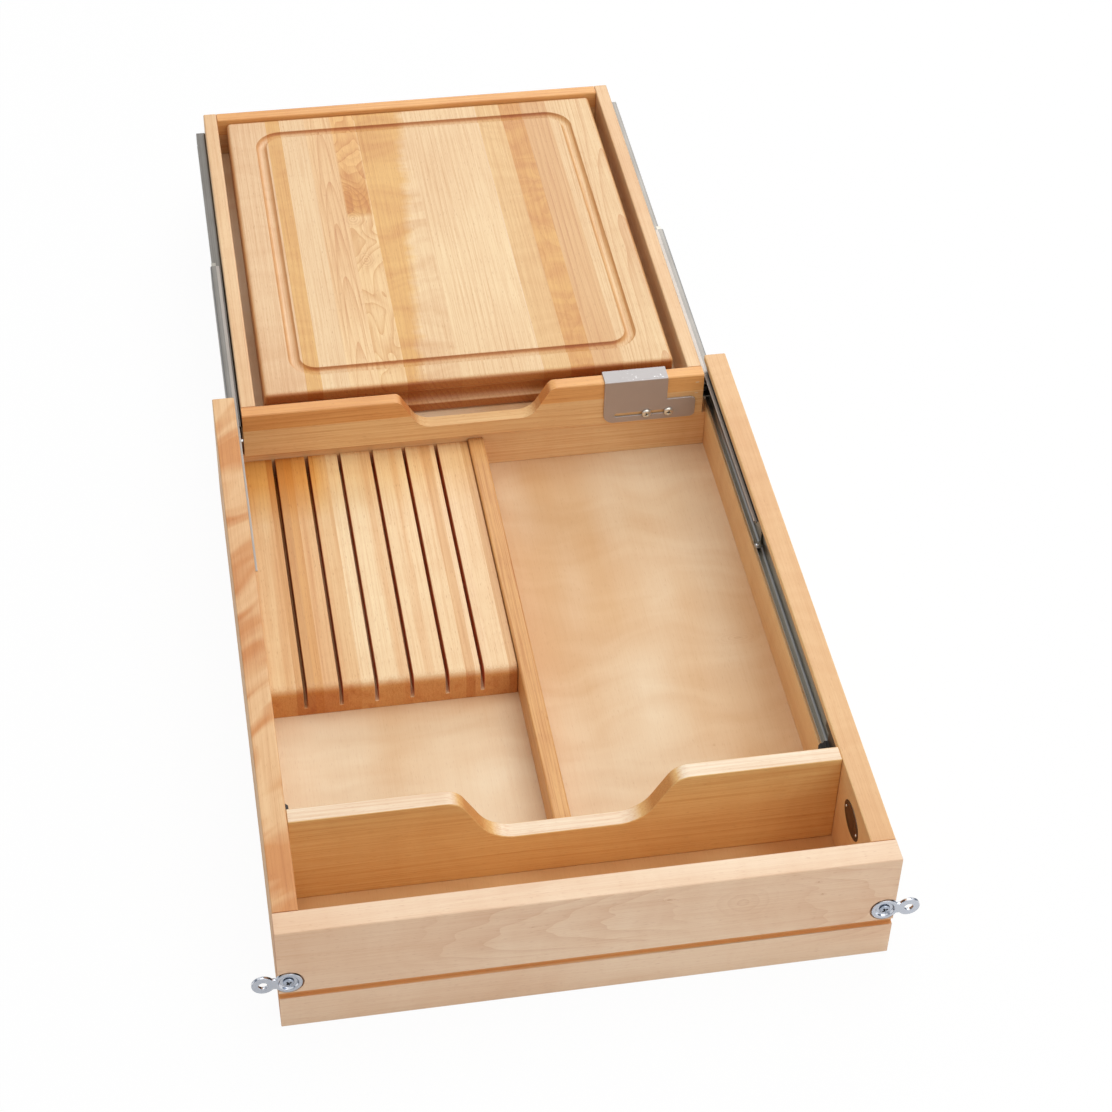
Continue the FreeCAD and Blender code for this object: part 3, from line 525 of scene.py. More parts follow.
def finishMaterial(name, look):
    look = {**finishBasics, **look}
    material, tree, shader, coord, normal = startMaterial(name)
    wear = useGroup("wear", {"Vector": coord, "Light Tone": linearTone(look["light"]),
                             "Dark Tone": linearTone(look["dark"]),
                             "Roughness": look["rough"], "Spread": look["spread"], "Drawn": look["drawn"]})
    tone = localTones(look, coord, normal, wear["Tone"])
    # painted reflections in the dished faces
    if "dish" in look:
        tone = paintedDishReflections(normal, tone, look["dish"])
    # painted highlight where the edge tone is lighter, painted shade where it is darker, at rounded edges and
    # bends
    if "edges" in look:
        tone = useGroup("paintedEdgeLight", {"Tone": tone, "Normal": normal,
                                      "Edge Tone": linearTone(look["edges"])})["Tone"]
    if "scuffs" in look:
        tone = scuffed(coord, normal, tone, look["scuffs"])
    finishShader(shader, look, tone, wear["Roughness"], wear["Height"], {"Metallic": look["metal"]})
    return material


# An up tone is painted light: it makes the faces that look up lighter or darker than the sides.
woodLooks = {
    "frontBoardMaple": {
        "grain": "x", "light": (243, 217, 187), "dark": (222, 180, 142), "rings": 0.12, "lines": 90,
        "arch": 8, "cloud": 0.45, "curl": 0.1, "fibre": 0.2, "offset": (0.3, 0.1, 0.7), "up": (246, 222, 192),
        # painted shade: faces set back from the front face below the top of its groove get a golden-brown
        # tint
        "zones": [(((1, -0.5066, -0.506), (2, 0.0392, 0.0386)), (248, 214, 166))],
        "arches": [
            {
                "across": 2, "along": 0, "noise": (7.0, 32.0, 32.0), "middle": 0.078, "half": 0.034,
                "bow": -2.0, "perMetre": 24.0, "sharp": 2.2, "share": 0.24, "tone": (214, 166, 130),
                "wander": 3.4, "limits": [(0, 0.085, 0.04), (0, -0.14, -0.09), (1, -0.5062, -0.5066)],
            },
            {
                "across": 2, "along": 0, "noise": (7.0, 32.0, 32.0), "middle": 0.066, "half": 0.05,
                "bow": 3.0, "perMetre": 30.0, "sharp": 2.2, "share": 0.2, "tone": (214, 166, 130),
                "wander": 3.4, "limits": [(0, 0.13, 0.17), (1, -0.5062, -0.5066)],
            },
        ],
        "knotFace": "front",
        "knots": [
            (0.108, 0.0772, 0.0096, 1.1, 0.17, 0.0), (0.1618, 0.0898, 0.0009, 1.8, 0.7, 0.6),
            (0.1661, 0.0758, 0.0008, 1.5, 0.6, 0.5), (0.054, 0.09, 0.0006, 4.0, 0.8, 0.7),
            (-0.042, 0.078, 0.0005, 5.0, 0.7, 0.6), (0.06, 0.03, 0.0005, 6.0, 0.7, 0.6),
        ],
    },
    "drawerMapleAlong": {
        "grain": "y", "up": (230, 186, 134), "light": (251, 215, 158), "dark": (214, 164, 110), "rings": 0.1,
        "lines": 120, "cloud": 0.6, "curl": 0.15, "fibre": 0.2, "offset": (1.1, 0.4, 0.2),
    },
    "dividerMaple": {
        "grain": "y", "light": (230, 180, 114), "dark": (206, 148, 84), "rings": 0.45, "lines": 260,
        "fibre": 0.6, "cloud": 0.2, "offset": (0.7, 1.9, 0.4),
    },
    "curlyMapleAlong": {
        "grain": "y", "sideCurl": 0.25, "light": (237, 199, 150), "dark": (214, 168, 116), "rings": 0.2,
        "curl": 0.15, "bands": 0.85, "curlTone": (226, 180, 120), "cloud": 0.35, "shear": 0.8,
        "offset": (2.3, 0.9, 0.6),
    },
    "crossMaple": {
        "grain": "x", "light": (244, 206, 138), "dark": (220, 168, 106), "rings": 0.35, "lines": 210,
        "arch": 4, "fibre": 0.4, "offset": (0.5, 1.2, 0.8), "up": (250, 234, 208),
    },
    "drawerMapleAcross": {
        "grain": "x", "light": (240, 200, 146), "dark": (216, 164, 104), "rings": 0.4, "lines": 210,
        "arch": 4, "fibre": 0.45, "offset": (0.8, 1.7, 0.1),
    },
    "trayMapleAcross": {
        "grain": "x", "light": (242, 200, 146), "dark": (214, 160, 98), "lines": 260, "fibre": 0.45,
        "staves": [(-0.01, (244, 205, 148), 0.3, 0.05, 0.0, 1.0), (0.0838, (240, 184, 114), 0.35, 0.1)],
        "staveSpan": (0.04, 0.11), "staveAxis": 2, "offset": (0.2, 2.6, 0.4),
    },
    "trayMapleAlong": {
        "grain": "y", "light": (238, 204, 158), "dark": (216, 168, 118), "rings": 0.2, "lines": 160,
        "cloud": 0.4, "fibre": 0.25, "offset": (1.9, 0.2, 0.9),
    },
    "blockMaple": {
        "grain": "y", "light": (244, 206, 148), "dark": (214, 160, 96), "fibre": 0.3, "lines": 260,
        "cloud": 0.3, "streaks": 0.45, "streakTone": (226, 176, 116), "flecks": 0.4,
        "staves": [
            (-0.21, (240, 206, 154), 0.12, 0.1), (-0.1825, (222, 172, 112), 0.2, 0.0),
            (-0.1675, (229, 178, 112), 0.15, 0.0), (-0.161, (235, 192, 138), 0.15, 0.1),
            (-0.1425, (243, 209, 157), 0.12, 0.1), (-0.132, (247, 220, 175), 0.12, 0.1),
            (-0.097, (243, 210, 162), 0.2, 0.0), (-0.0915, (247, 218, 172), 0.15, 0.1),
            (-0.0485, (230, 186, 134), 0.2, 0.0), (-0.0415, (249, 221, 178), 0.12, 0.1),
            (-0.0275, (247, 218, 173), 0.15, 0.1), (-0.0145, (226, 184, 132), 0.2, 0.0),
        ],
        # painted shade: towards the rear, under the tray, the block is tinted more golden, most on its left
        # part
        "zones": [
            (((0, -0.13, -0.142), (1, -0.03, 0.02)), (247, 222, 170)), (((1, -0.03, 0.02),), (255, 248, 230)),
        ],
        "staveSpan": (-0.21, 0.0), "offset": (0.6, 0.3, 1.2), "end": (228, 190, 146),
        "kerf": {"top": 0.0455, "fade": 0.004, "tone": (240, 150, 90)},
    },
    "boardMaple": {
        "grain": "y", "light": (246, 212, 164), "dark": (214, 160, 98), "fibre": 0.35, "lines": 190,
        "cloud": 0.25, "flecks": 0.4,
        "staves": [
            (-0.19, (232, 197, 153), 0.3, 0.15, 0.0, 2.0), (-0.142, (226, 179, 109), 0.3, 0.2, 0.0, 1.0),
            (-0.1285, (236, 205, 159), 0.35, 0.05, 0.0, 1.0), (-0.104, (239, 206, 155), 0.4, 0.05, 0.0, 7.0),
            (-0.08, (239, 206, 152), 0.25, 0.15, 0.6, 3.0), (-0.0555, (226, 179, 105), 0.5, 0.35, 0.0, 1.0),
            (-0.0075, (235, 205, 162), 0.4, 0.05, 0.0, 2.5), (0.0625, (231, 195, 137), 0.35, 0.15, 0.0, 1.0),
            (0.0862, (223, 173, 99), 0.2, 0.35, 0.25, 2.0), (0.1075, (221, 178, 123), 0.6, 0.0, 0.0, 1.0),
            (0.1335, (232, 200, 151), 0.12, 0.1, 0.0, 6.0),
        ],
        "paleSide": {
            "start": -0.0485, "slope": 0.077, "wander": 0.018, "blur": 0.005, "limit": 0.0625,
            "tone": (236, 206, 159),
        },
        "zones": [
            (((0, -0.08, -0.0775), (0, -0.055, -0.0565), (1, 0.322, 0.34)), (250, 234, 204)),
            (((0, -0.08, -0.0775), (0, -0.055, -0.0565), (1, 0.322, 0.33), (1, 0.4, 0.36)), (236, 216, 176)),
        ],
        "arches": [
            {"middle": 0.172, "half": 0.038, "bow": 9.0, "perMetre": 7.0, "share": 0.5},
            {"middle": -0.0905, "half": 0.0105, "bow": 2.0, "perMetre": 12.0, "share": 0.5, "sharp": 4.0},
            {
                "middle": -0.067, "half": 0.0125, "bow": -1.3, "perMetre": 92.0, "wander": 3.2, "sharp": 1.6,
                "noise": (60.0, 20.0, 60.0), "share": 0.45, "tone": (224, 184, 132),
                "limits": [(1, 0.32, 0.332), (1, 0.45, 0.4)],
            },
        ],
        "figureTone": (220, 178, 124),
        "knots": [(-0.0745, 0.321, 0.004, 1.4, 0.6, 0.0), (-0.07, 0.256, 0.0036, 1.5, 0.6, 0.0)],
        "cut": ((234, 190, 124), 0.55), "staveSpan": (-0.19, 0.19), "offset": (0.1, 0.5, 0.3),
        "end": (208, 170, 130),
    },
    "birchPly": {
        "grain": "y", "light": (242, 222, 190), "dark": (226, 190, 146), "rings": 0.05, "curl": 0.15,
        "bands": 0.12, "cloud": 0.8, "fibre": 0.1, "flecks": 0.2, "rough": 0.5, "coat": 0.05,
        # painted shade: the floor of the front compartment is tinted more golden
        "offset": (0.9, 0.6, 0.5), "zones": [(((1, -0.398, -0.404),), (243, 216, 178))],
        "knots": [(0.18, -0.19, 0.008, 0.4, 0.2, 0.16), (0.1356, -0.3035, 0.0006, 1.0, 0.9, 0.7)],
    },
}
finishLooks = {
    "zincRail": {
        "light": (202, 198, 188), "dark": (166, 162, 152), "rough": 0.3, "drawn": 0.25,
        # painted shade: the rails are darker above this height, and the edge tone darkens their bends
        "edges": (140, 140, 142), "zones": [(((2, 0.0838, 0.0846),), (174, 173, 176))],
    },
    # painted shade: a darker copy of the rail zinc for the beads and lips, so that they catch less light
    "shadedRolledEdge": {"light": (178, 170, 162), "dark": (156, 149, 142), "rough": 0.36, "metal": 0.6},
    "cageSteel": {"light": (176, 172, 162), "dark": (136, 132, 124), "rough": 0.3},
    "ballSteel": {"light": (214, 214, 216), "dark": (192, 192, 196), "rough": 0.12, "bump": 0.0},
    "brightScrew": {"light": (236, 232, 222), "dark": (208, 204, 194), "rough": 0.3, "metal": 0.85},
    # painted shade: a near-black finish for the walls and floor of the screws' cross recesses
    "recessShadePaint": {"light": (40, 36, 32), "dark": (20, 18, 16), "rough": 0.6, "metal": 0.3},
    "zincCasting": {
        "light": (204, 209, 218), "dark": (178, 186, 198), "rough": 0.2,
        "dish": {"scale": 2.2, "light": (226, 230, 238), "dark": (96, 106, 124)},
    },
    "zincScrew": {"light": (188, 196, 208), "dark": (150, 160, 176), "rough": 0.22},
    # painted reflection and light: the plate's tone is brownish for the wood that its front reflects, the
    # faces that look up are greyer, and the edges and bends are paler as a painted highlight; the scuffs are
    # wear
    "greyPaint": {
        "light": (180, 163, 152), "dark": (168, 150, 140), "rough": 0.38, "metal": 0.1, "coat": 0.2,
        "up": (172, 166, 164), "edges": (206, 204, 206), "scuffs": (242, 242, 242),
    },
    "blackPlastic": {"light": (36, 32, 30), "dark": (22, 19, 18), "rough": 0.5, "metal": 0.0, "bump": 0.15},
    "brownPlate": {"light": (104, 82, 68), "dark": (58, 44, 36), "rough": 0.36, "metal": 0.6, "bump": 0.2},
    "woodFiller": {"light": (240, 214, 176), "dark": (222, 190, 148), "rough": 0.6, "metal": 0.0},
}
materials = {name: woodMaterial(name, look) for name, look in woodLooks.items()}
materials.update({name: finishMaterial(name, look) for name, look in finishLooks.items()})
print("finishes made:", len(materials))


# Which solids take each finish; a name without its side stands for both.
solidsOf = {
    "frontBoardMaple": "front_board", "drawerMapleAcross": "rear_wall", "crossMaple": "cross_divider",
    "curlyMapleAlong": "drawer_side_left", "drawerMapleAlong": "drawer_side_right",
    "dividerMaple": "long_divider", "birchPly": "drawer_floor tray_floor", "blockMaple": "knife_block",
    "boardMaple": "cutting_board", "trayMapleAcross": "tray_front_wall tray_rear_wall",
    "trayMapleAlong": "tray_side", "greyPaint": "latch_plate",
    "zincRail": "outer_rail middle_rail inner_rail lever_rivets", "cageSteel": "outer_cage inner_cage",
    "ballSteel": "outer_balls inner_balls", "blackPlastic": "rail_stop release_lever",
    "zincCasting": "figure_eight",
    "brightScrew": "figure_eight_screws latch_screws inner_rail_screws outer_rail_screws",
}
nodeFinish = {solid: finish for finish, solids in solidsOf.items() for solid in solids.split()}


# The finish of a solid, named in full or without its side.
def finishOf(solidName):
    return nodeFinish.get(solidName) or nodeFinish[solidName.rsplit("_", 1)[0]]


for solidName, solid in nodes.items():
    solid.data.materials.clear()
    solid.data.materials.append(materials[finishOf(solidName)])
print("finishes given to the solids")


hair = 0.00001  # places closer than this count as the same


def clearSelection():
    if bpy.context.object and bpy.context.object.mode != "OBJECT":
        bpy.ops.object.mode_set(mode="OBJECT")
    bpy.ops.object.select_all(action="DESELECT")


def makeActive(piece):
    clearSelection()
    piece.select_set(True)
    bpy.context.view_layer.objects.active = piece


def named(name):
    piece = bpy.context.object
    piece.name = name
    piece.data.name = name
    return piece


# The name of a scene piece after its solid: rail_stop_left gives railStopLeft.
def pieceName(solidName):
    first, *others = solidName.split("_")
    return first + "".join(word.capitalize() for word in others)


# Puts turn, size and place into the mesh, so that the object stands at the origin.
def settle(piece):
    makeActive(piece)
    bpy.ops.object.transform_apply(location=True, rotation=True, scale=True)


def standAt(piece, place, turn):
    piece.rotation_euler = [math.radians(angle) for angle in turn]
    piece.location = place
    settle(piece)


# A box between two corners.
def makeBox(name, low, high):
    low, high = Vector(low), Vector(high)
    clearSelection()
    bpy.ops.mesh.primitive_cube_add(size=1, location=(low + high) / 2)
    piece = named(name)
    piece.scale = high - low
    settle(piece)
    return piece


def editAll():
    bpy.ops.object.mode_set(mode="EDIT")
    bpy.ops.mesh.select_all(action="SELECT")


def endEdit():
    bpy.ops.object.mode_set(mode="OBJECT")


# Selects the corners, or the edges by their two ends, that pass the test, and stays in edit mode.
def selectWhere(piece, kind, test):
    bpy.ops.object.mode_set(mode="EDIT")
    bpy.ops.mesh.select_mode(type=kind)
    bpy.ops.mesh.select_all(action="DESELECT")
    endEdit()
    corners = piece.data.vertices
    if kind == "VERT":
        for corner in corners:
            corner.select = test(corner.co)
    else:
        for edge in piece.data.edges:
            edge.select = test(*[corners[index].co for index in edge.vertices])
    bpy.ops.object.mode_set(mode="EDIT")


def bevelWhere(piece, test, **bevel):
    selectWhere(piece, "EDGE", test)
    bpy.ops.mesh.bevel(affect="EDGES", clamp_overlap=False, **bevel)
    bpy.ops.mesh.select_mode(type="VERT")
    endEdit()


def joined(parts, name):
    clearSelection()
    for part in parts:
        part.select_set(True)
    bpy.context.view_layer.objects.active = parts[0]
    bpy.ops.object.join()
    return named(name)


def addModifier(piece, kind, **settings):
    makeActive(piece)
    modifier = piece.modifiers.new(kind.lower(), kind)
    for key, value in settings.items():
        setattr(modifier, key, value)
    bpy.ops.object.modifier_apply(modifier=modifier.name)


def softenBy(piece, width, steps, **limits):
    bpy.ops.object.shade_smooth()
    addModifier(piece, "BEVEL", width=width, segments=steps, miter_outer="MITER_ARC", **limits)


# Rounds every sharp edge except those inside a band of heights.
def easeOutsideBand(piece, width, band, steps=2, angle=42):
    mesh = bmesh.new()
    mesh.from_mesh(piece.data)
    weight = mesh.edges.layers.float.new("bevel_weight_edge")
    for edge in mesh.edges:
        sharp = len(edge.link_faces) == 2 and edge.calc_face_angle() > math.radians(angle)
        if sharp and not all(band[0] < corner.co.z < band[1] for corner in edge.verts):
            edge[weight] = 1.0
    mesh.to_mesh(piece.data)
    mesh.free()
    makeActive(piece)
    softenBy(piece, width, steps, limit_method="WEIGHT", use_clamp_overlap=False)


# "crowded" keeps the rounding clear of short edges nearby.
def easeEdges(piece, width, steps=2, angle=42, crowded=False):
    softenBy(piece, width, steps, limit_method="ANGLE", angle_limit=math.radians(angle),
             use_clamp_overlap=crowded)


# Smooth across edges that bend less than the angle.
def smoothUpTo(angle):
    bpy.ops.object.shade_smooth_by_angle(angle=math.radians(angle))


# Smooth round the softened edges and flat on the faces.
def evenShading(piece, angle=50):
    makeActive(piece)
    smoothUpTo(angle)
    addModifier(piece, "WEIGHTED_NORMAL", mode="FACE_AREA", weight=100, keep_sharp=True)


def cutWith(piece, cutter):
    settle(cutter)
    settle(piece)
    addModifier(piece, "BOOLEAN", object=cutter, operation="DIFFERENCE", solver="EXACT")
    bpy.data.objects.remove(cutter, do_unlink=True)


def mergeLoose(piece, angle=1.0):
    makeActive(piece)
    editAll()
    bpy.ops.mesh.remove_doubles(threshold=hair)
    bpy.ops.mesh.dissolve_limited(angle_limit=math.radians(angle))
    endEdit()


def paint(piece, *finishes):
    piece.data.materials.clear()
    for finish in finishes:
        piece.data.materials.append(materials[finish])


def dress(piece, finish, body, slot, *solids):
    if finish:
        paint(piece, finish)
    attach(piece, body)
    if solids:
        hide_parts(*solids)


# Wooden, pressed and moulded parts keep their shape and get worn, softened edges.
easedParts = [  # solid (* stands for left and right), body, slot, softening in metres
    ("front_board", "drawer", "drawer_maple", 0.0004),
    ("rear_wall", "drawer", "drawer_maple", 0.0006),
    ("cross_divider", "drawer", "drawer_maple", 0.0010),
    ("long_divider", "drawer", "drawer_maple", 0.0010),
    ("drawer_side_*", "drawer", "drawer_maple", 0.0004),
    ("knife_block", "drawer", "block_maple", 0.0006),
    ("tray_front_wall", "tray", "tray_maple", 0.0010),
    ("tray_rear_wall", "tray", "tray_maple", 0.0008),
    ("tray_side_*", "tray", "tray_maple", 0.0008),
    ("latch_plate", "latch", "grey_paint", 0.0003),
    ("figure_eight_*", "fastener_*", "zinc_casting", 0.0004),
    ("outer_rail_*", "drawer", "slide_zinc", 0.0003),
    ("middle_rail_*", "middle_rails", "slide_zinc", 0.0003),
    ("inner_rail_*", "tray", "slide_zinc", 0.0003),
    ("rail_stop_*", "drawer", "black_plastic", 0.0006),
    ("release_lever_*", "lever_*", "black_plastic", 0.0005),
]
# The long groove across the front board keeps crisp edges between these heights.
crispBand = (0.0310, 0.0386)


def makeEasedPart(solidName, body, slot, softening):
    name = pieceName(solidName)
    piece = bpy.data.objects.new(name, nodes[solidName].data.copy())
    bpy.context.scene.collection.objects.link(piece)
    piece.data.name = name
    mergeLoose(piece)
    if solidName == "front_board":
        easeOutsideBand(piece, softening, crispBand)
    else:
        easeEdges(piece, softening, crowded=solidName == "tray_front_wall")
    evenShading(piece)
    dress(piece, finishOf(solidName), body, slot, solidName)


easedCount = 0
for pattern, body, slot, softening in easedParts:
    for side in ("left", "right") if "*" in pattern else ("",):
        makeEasedPart(pattern.replace("*", side), body.replace("*", side), slot, softening)
        easedCount += 1
print("edges softened:", easedCount)


cuttingBoard = {
    "rounding": 0.004, "roundSteps": 6, "roundAngle": 30, "rims": 0.0007, "rimAngle": 34, "flatAngle": 0.4,
    "shadeAngle": 32,
    "groove": {"inX": 0.030, "inY": 0.027, "corner": 0.020, "cornerSteps": 12, "width": 0.0098,
               "depth": 0.004, "sides": 14},
    "cove": {"width": 0.016, "depth": 0.0045, "sides": 48, "over": 0.02},
}


# The radius of a round section that is so wide at the surface and so deep.
def sectionRadius(cutting):
    return (cutting["width"] ** 2 / 4 + cutting["depth"] ** 2) / (2 * cutting["depth"])


def makeCuttingBoard(look):
    low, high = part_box("cutting_board")
    size, middle = high - low, (low + high) / 2
    board = makeBox("cuttingBoard", low, high)
    easeEdges(board, look["rounding"], look["roundSteps"], look["roundAngle"])
    # the finger cove across the front edge: a round bar takes it out
    cove = look["cove"]
    radius = sectionRadius(cove)
    clearSelection()
    bpy.ops.mesh.primitive_cylinder_add(vertices=cove["sides"], radius=radius, depth=size.x + cove["over"],
                                        location=(middle.x, low.y + cove["depth"] - radius, middle.z),
                                        rotation=(0, math.radians(90), 0))
    cutWith(board, named("coveBar"))
    # the juice groove: a rounded loop with a round section
    groove = look["groove"]
    radius = sectionRadius(groove)
    clearSelection()
    bpy.ops.mesh.primitive_plane_add(size=2, location=(middle.x, middle.y, high.z))
    loop = named("grooveLoop")
    loop.scale = (size.x / 2 - groove["inX"], size.y / 2 - groove["inY"], 1)
    settle(loop)
    editAll()
    bpy.ops.mesh.bevel(offset=groove["corner"], segments=groove["cornerSteps"], affect="VERTICES",
                       clamp_overlap=False)
    bpy.ops.mesh.delete(type="ONLY_FACE")
    endEdit()
    bpy.ops.object.convert(target="CURVE")
    loop = bpy.context.object
    loop.data.bevel_depth = radius
    loop.data.bevel_resolution = groove["sides"]
    bpy.ops.object.convert(target="MESH")
    loop = bpy.context.object
    loop.location.z += radius - groove["depth"]
    cutWith(board, loop)
    mergeLoose(board, look["flatAngle"])
    easeEdges(board, look["rims"], angle=look["rimAngle"])
    evenShading(board, look["shadeAngle"])
    dress(board, "boardMaple", "board", "board_maple", "cutting_board")


makeCuttingBoard(cuttingBoard)
print("cutting board made")


# Turned along +Z at the origin: (height, radius) of each edge from the bottom of the shank up.
def turnedPiece(name, sides, edges):
    clearSelection()
    height, radius = edges[0]
    bpy.ops.mesh.primitive_circle_add(vertices=sides, radius=radius, fill_type="NGON",
                                      location=(0, 0, height))
    piece = named(name)
    settle(piece)
    editAll()
    for nextHeight, nextRadius in edges[1:]:
        bpy.ops.mesh.extrude_region_move(TRANSFORM_OT_translate={"value": (0, 0, nextHeight - height)})
        bpy.ops.transform.resize(value=(nextRadius / radius, nextRadius / radius, 1),
                                 center_override=(0, 0, nextHeight))
        height, radius = nextHeight, nextRadius
    bpy.ops.mesh.select_all(action="SELECT")
    bpy.ops.mesh.normals_make_consistent(inside=False)
    endEdit()
    return piece


# A turned fitting, stretched across its axis, smoothed, set in its place and dressed.
def addTurned(name, look, edges, place, turn, dressing, stretch=(1, 1)):
    piece = turnedPiece(name, look["sides"], edges)
    piece.scale = (*stretch, 1)
    settle(piece)
    smoothUpTo(look["shadeAngle"])
    standAt(piece, place, turn)
    dress(piece, *dressing)


# A domed head between its foot and its top: each (share of the height, share of the radius).
def domeEdges(height, radius, steps):
    return [(height * up, radius * out) for up, out in steps]


# Cuts a cross recess for a screwdriver, tapering downwards from the head's top.
def cutCross(screw, top, cross):
    floor, taper = top - cross["depth"], screws["crossTaper"]
    for turn in (45, 135):
        blade = makeBox("crossBlade", (-cross["reach"], -cross["half"], floor),
                        (cross["reach"], cross["half"], top + screws["crossOver"]))
        standAt(blade, (0, 0, 0), (0, 0, turn))
        selectWhere(blade, "VERT", lambda corner: corner.z < floor + hair)
        bpy.ops.transform.resize(value=(taper, taper, 1), center_override=(0, 0, 0))
        endEdit()
        cutWith(screw, blade)


def copyTo(master, name, place, turn):
    makeActive(master)
    bpy.ops.object.duplicate(linked=False)
    copy = named(name)
    standAt(copy, place, turn)
    return copy


screws = {
    "sides": 28, "shadeAngle": 35, "crossOver": 0.0004, "crossTaper": 0.5,
    "point": (0.001, 0.6),  # length and narrowing of the shank's end
    "brim": 0.97, "flatBrim": 0.0001, "roundBrim": 0.0002,
    "roundHead": [(0.38, 0.985), (0.62, 0.91), (0.82, 0.76), (0.95, 0.53), (1, 0.25)],
    # where the recess is painted dark as shade: from a depth to shares of its own depth, and how far its
    # walls may look up
    "dark": {"from": 0.00005, "to": 1.2, "floor": 0.8, "walls": 0.3},
    "kinds": {
        "latchScrew": {"head": 0.0042, "height": 0.0022, "shank": 0.0017, "length": 0.0082,
                       "cross": {"reach": 0.0024, "half": 0.00055, "depth": 0.0012}},
        "fastenerScrew": {"head": 0.0040, "height": 0.0017, "shank": 0.0020, "length": 0.0143,
                          "finish": "zincScrew",
                          "cross": {"reach": 0.0028, "half": 0.00085, "depth": 0.0012}},
        "trayRailScrew": {"head": 0.0032, "height": 0.0018, "shank": 0.0020, "length": 0.0090,
                          "cross": {"reach": 0.0017, "half": 0.00045, "depth": 0.0010}},
        "drawerRailScrew": {"head": 0.0034, "height": 0.0010, "shank": 0.0020, "length": 0.0080, "flat": True,
                            "cross": {"reach": 0.0019, "half": 0.00045, "depth": 0.0008}},
    },
}
bothSides = (("Right", 1), ("Left", -1))


# Where each screw sits: name, kind, solid, body, seat of its head, turn.
def screwPlaces():
    kinds = screws["kinds"]
    latch, fastener = kinds["latchScrew"], kinds["fastenerScrew"]
    low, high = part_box("latch_screws")
    ends = (low.x + latch["head"], high.x - latch["head"])
    places = [("latchScrew" + str(i + 1), "latchScrew", "latch_screws", "tray",
               (x, low.y + latch["height"], (low.z + high.z) / 2), (90, 20 + 35 * i, 0))
              for i, x in enumerate(ends)]
    low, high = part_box("figure_eight_screws")
    seat = (high.x - fastener["head"], low.y + fastener["height"], (low.z + high.z) / 2)
    places += [("fastenerScrew" + side, "fastenerScrew", "figure_eight_screws", "drawer",
                (sign * seat[0], seat[1], seat[2]), (90, 12, 0)) for side, sign in bothSides]
    for label, solid, body, outwards in (("trayRailScrew", "inner_rail_screws", "tray", 1),
                                         ("drawerRailScrew", "outer_rail_screws", "drawer", -1)):
        kind = kinds[label]
        low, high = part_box(solid)
        away = high.x - kind["height"] if outwards > 0 else high.x - kind["length"]
        first, last = low.y + kind["head"], high.y - kind["head"]
        for side, sign in bothSides:
            for index in range(3):
                y = first + (last - first) * index / 2
                places.append((label + side + str(index + 1), label, solid, body,
                               (sign * away, y, (low.z + high.z) / 2), (0, 90 * sign * outwards, 0)))
    return places


# Painted shade: the walls and floor of the cross recess take a near-black finish.
def paintShadedRecess(screw, top, cross, outside):
    paint(screw, outside, "recessShadePaint")
    dark, depth = screws["dark"], cross["depth"]
    for face in screw.data.polygons:
        middle = face.center
        deep = top - depth * dark["to"] < middle.z < top - dark["from"] and middle.xy.length < cross["reach"]
        if deep and (face.normal.z < dark["walls"] or middle.z < top - depth * dark["floor"]):
            face.material_index = 1


def makeScrews():
    masters = {}
    pointLength, pointShare = screws["point"]
    for name, kind in screws["kinds"].items():
        head, height, flat = kind["head"], kind["height"], kind.get("flat")
        top = 0 if flat else height
        shank = [(-kind["length"], kind["shank"] * pointShare),
                 (-kind["length"] + pointLength, kind["shank"])]
        if flat:
            rim = [(-height, kind["shank"]), (-screws["flatBrim"], head), (0, head * screws["brim"])]
        else:
            rim = [(0, kind["shank"]), (0, head * screws["brim"]), (screws["roundBrim"], head)]
            rim += domeEdges(height, head, screws["roundHead"])
        masters[name] = turnedPiece(name + "Pattern", screws["sides"], shank + rim)
        cutCross(masters[name], top, kind["cross"])
        makeActive(masters[name])
        smoothUpTo(screws["shadeAngle"])
        paintShadedRecess(masters[name], top, kind["cross"], kind.get("finish", "brightScrew"))
    for name, kind, solid, body, place, turn in screwPlaces():
        dress(copyTo(masters[kind], name, place, turn), None, body, "bright_screw", solid)
    for master in masters.values():
        bpy.data.objects.remove(master, do_unlink=True)


makeScrews()
print("screws made:", len(screwPlaces()))


balls = {"radius": 0.0016, "count": 5, "cuts": 5,
         "bodies": {"outer_balls": "outer_cages", "inner_balls": "inner_cages"}}


# One ball at the origin: a finely cut cube blown up to a sphere.
def makeBall(look):
    clearSelection()
    bpy.ops.mesh.primitive_cube_add(size=look["radius"])
    ball = named("ballPattern")
    editAll()
    bpy.ops.mesh.subdivide(number_cuts=look["cuts"])
    endEdit()
    for corner in ball.data.vertices:
        corner.co = corner.co.normalized() * look["radius"]
    bpy.ops.object.shade_smooth()
    return ball


# Two rows of balls in each cage, joined as one piece.
def makeBalls(look, master, family, side):
    low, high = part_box(family + "_" + side)
    radius, count = look["radius"], look["count"]
    row = []
    for z in (low.z + radius, high.z - radius):
        for index in range(count):
            y = low.y + radius + (high.y - low.y - 2 * radius) * index / (count - 1)
            row.append(copyTo(master, "ball", ((low.x + high.x) / 2, y, z), (0, 0, 0)))
    piece = joined(row, pieceName(family + "_" + side))
    dress(piece, "ballSteel", look["bodies"][family], "ball_steel", family + "_" + side)


ballMaster = makeBall(balls)
for family in balls["bodies"]:
    for side in ("left", "right"):
        makeBalls(balls, ballMaster, family, side)
bpy.data.objects.remove(ballMaster, do_unlink=True)
print("balls made")


leverRivet = {"head": 0.0021, "height": 0.0009, "shank": 0.0012, "length": 0.0029, "sides": 24,
              "shadeAngle": 35, "dome": [(0.4, 0.95), (0.75, 0.72), (1, 0.35)]}


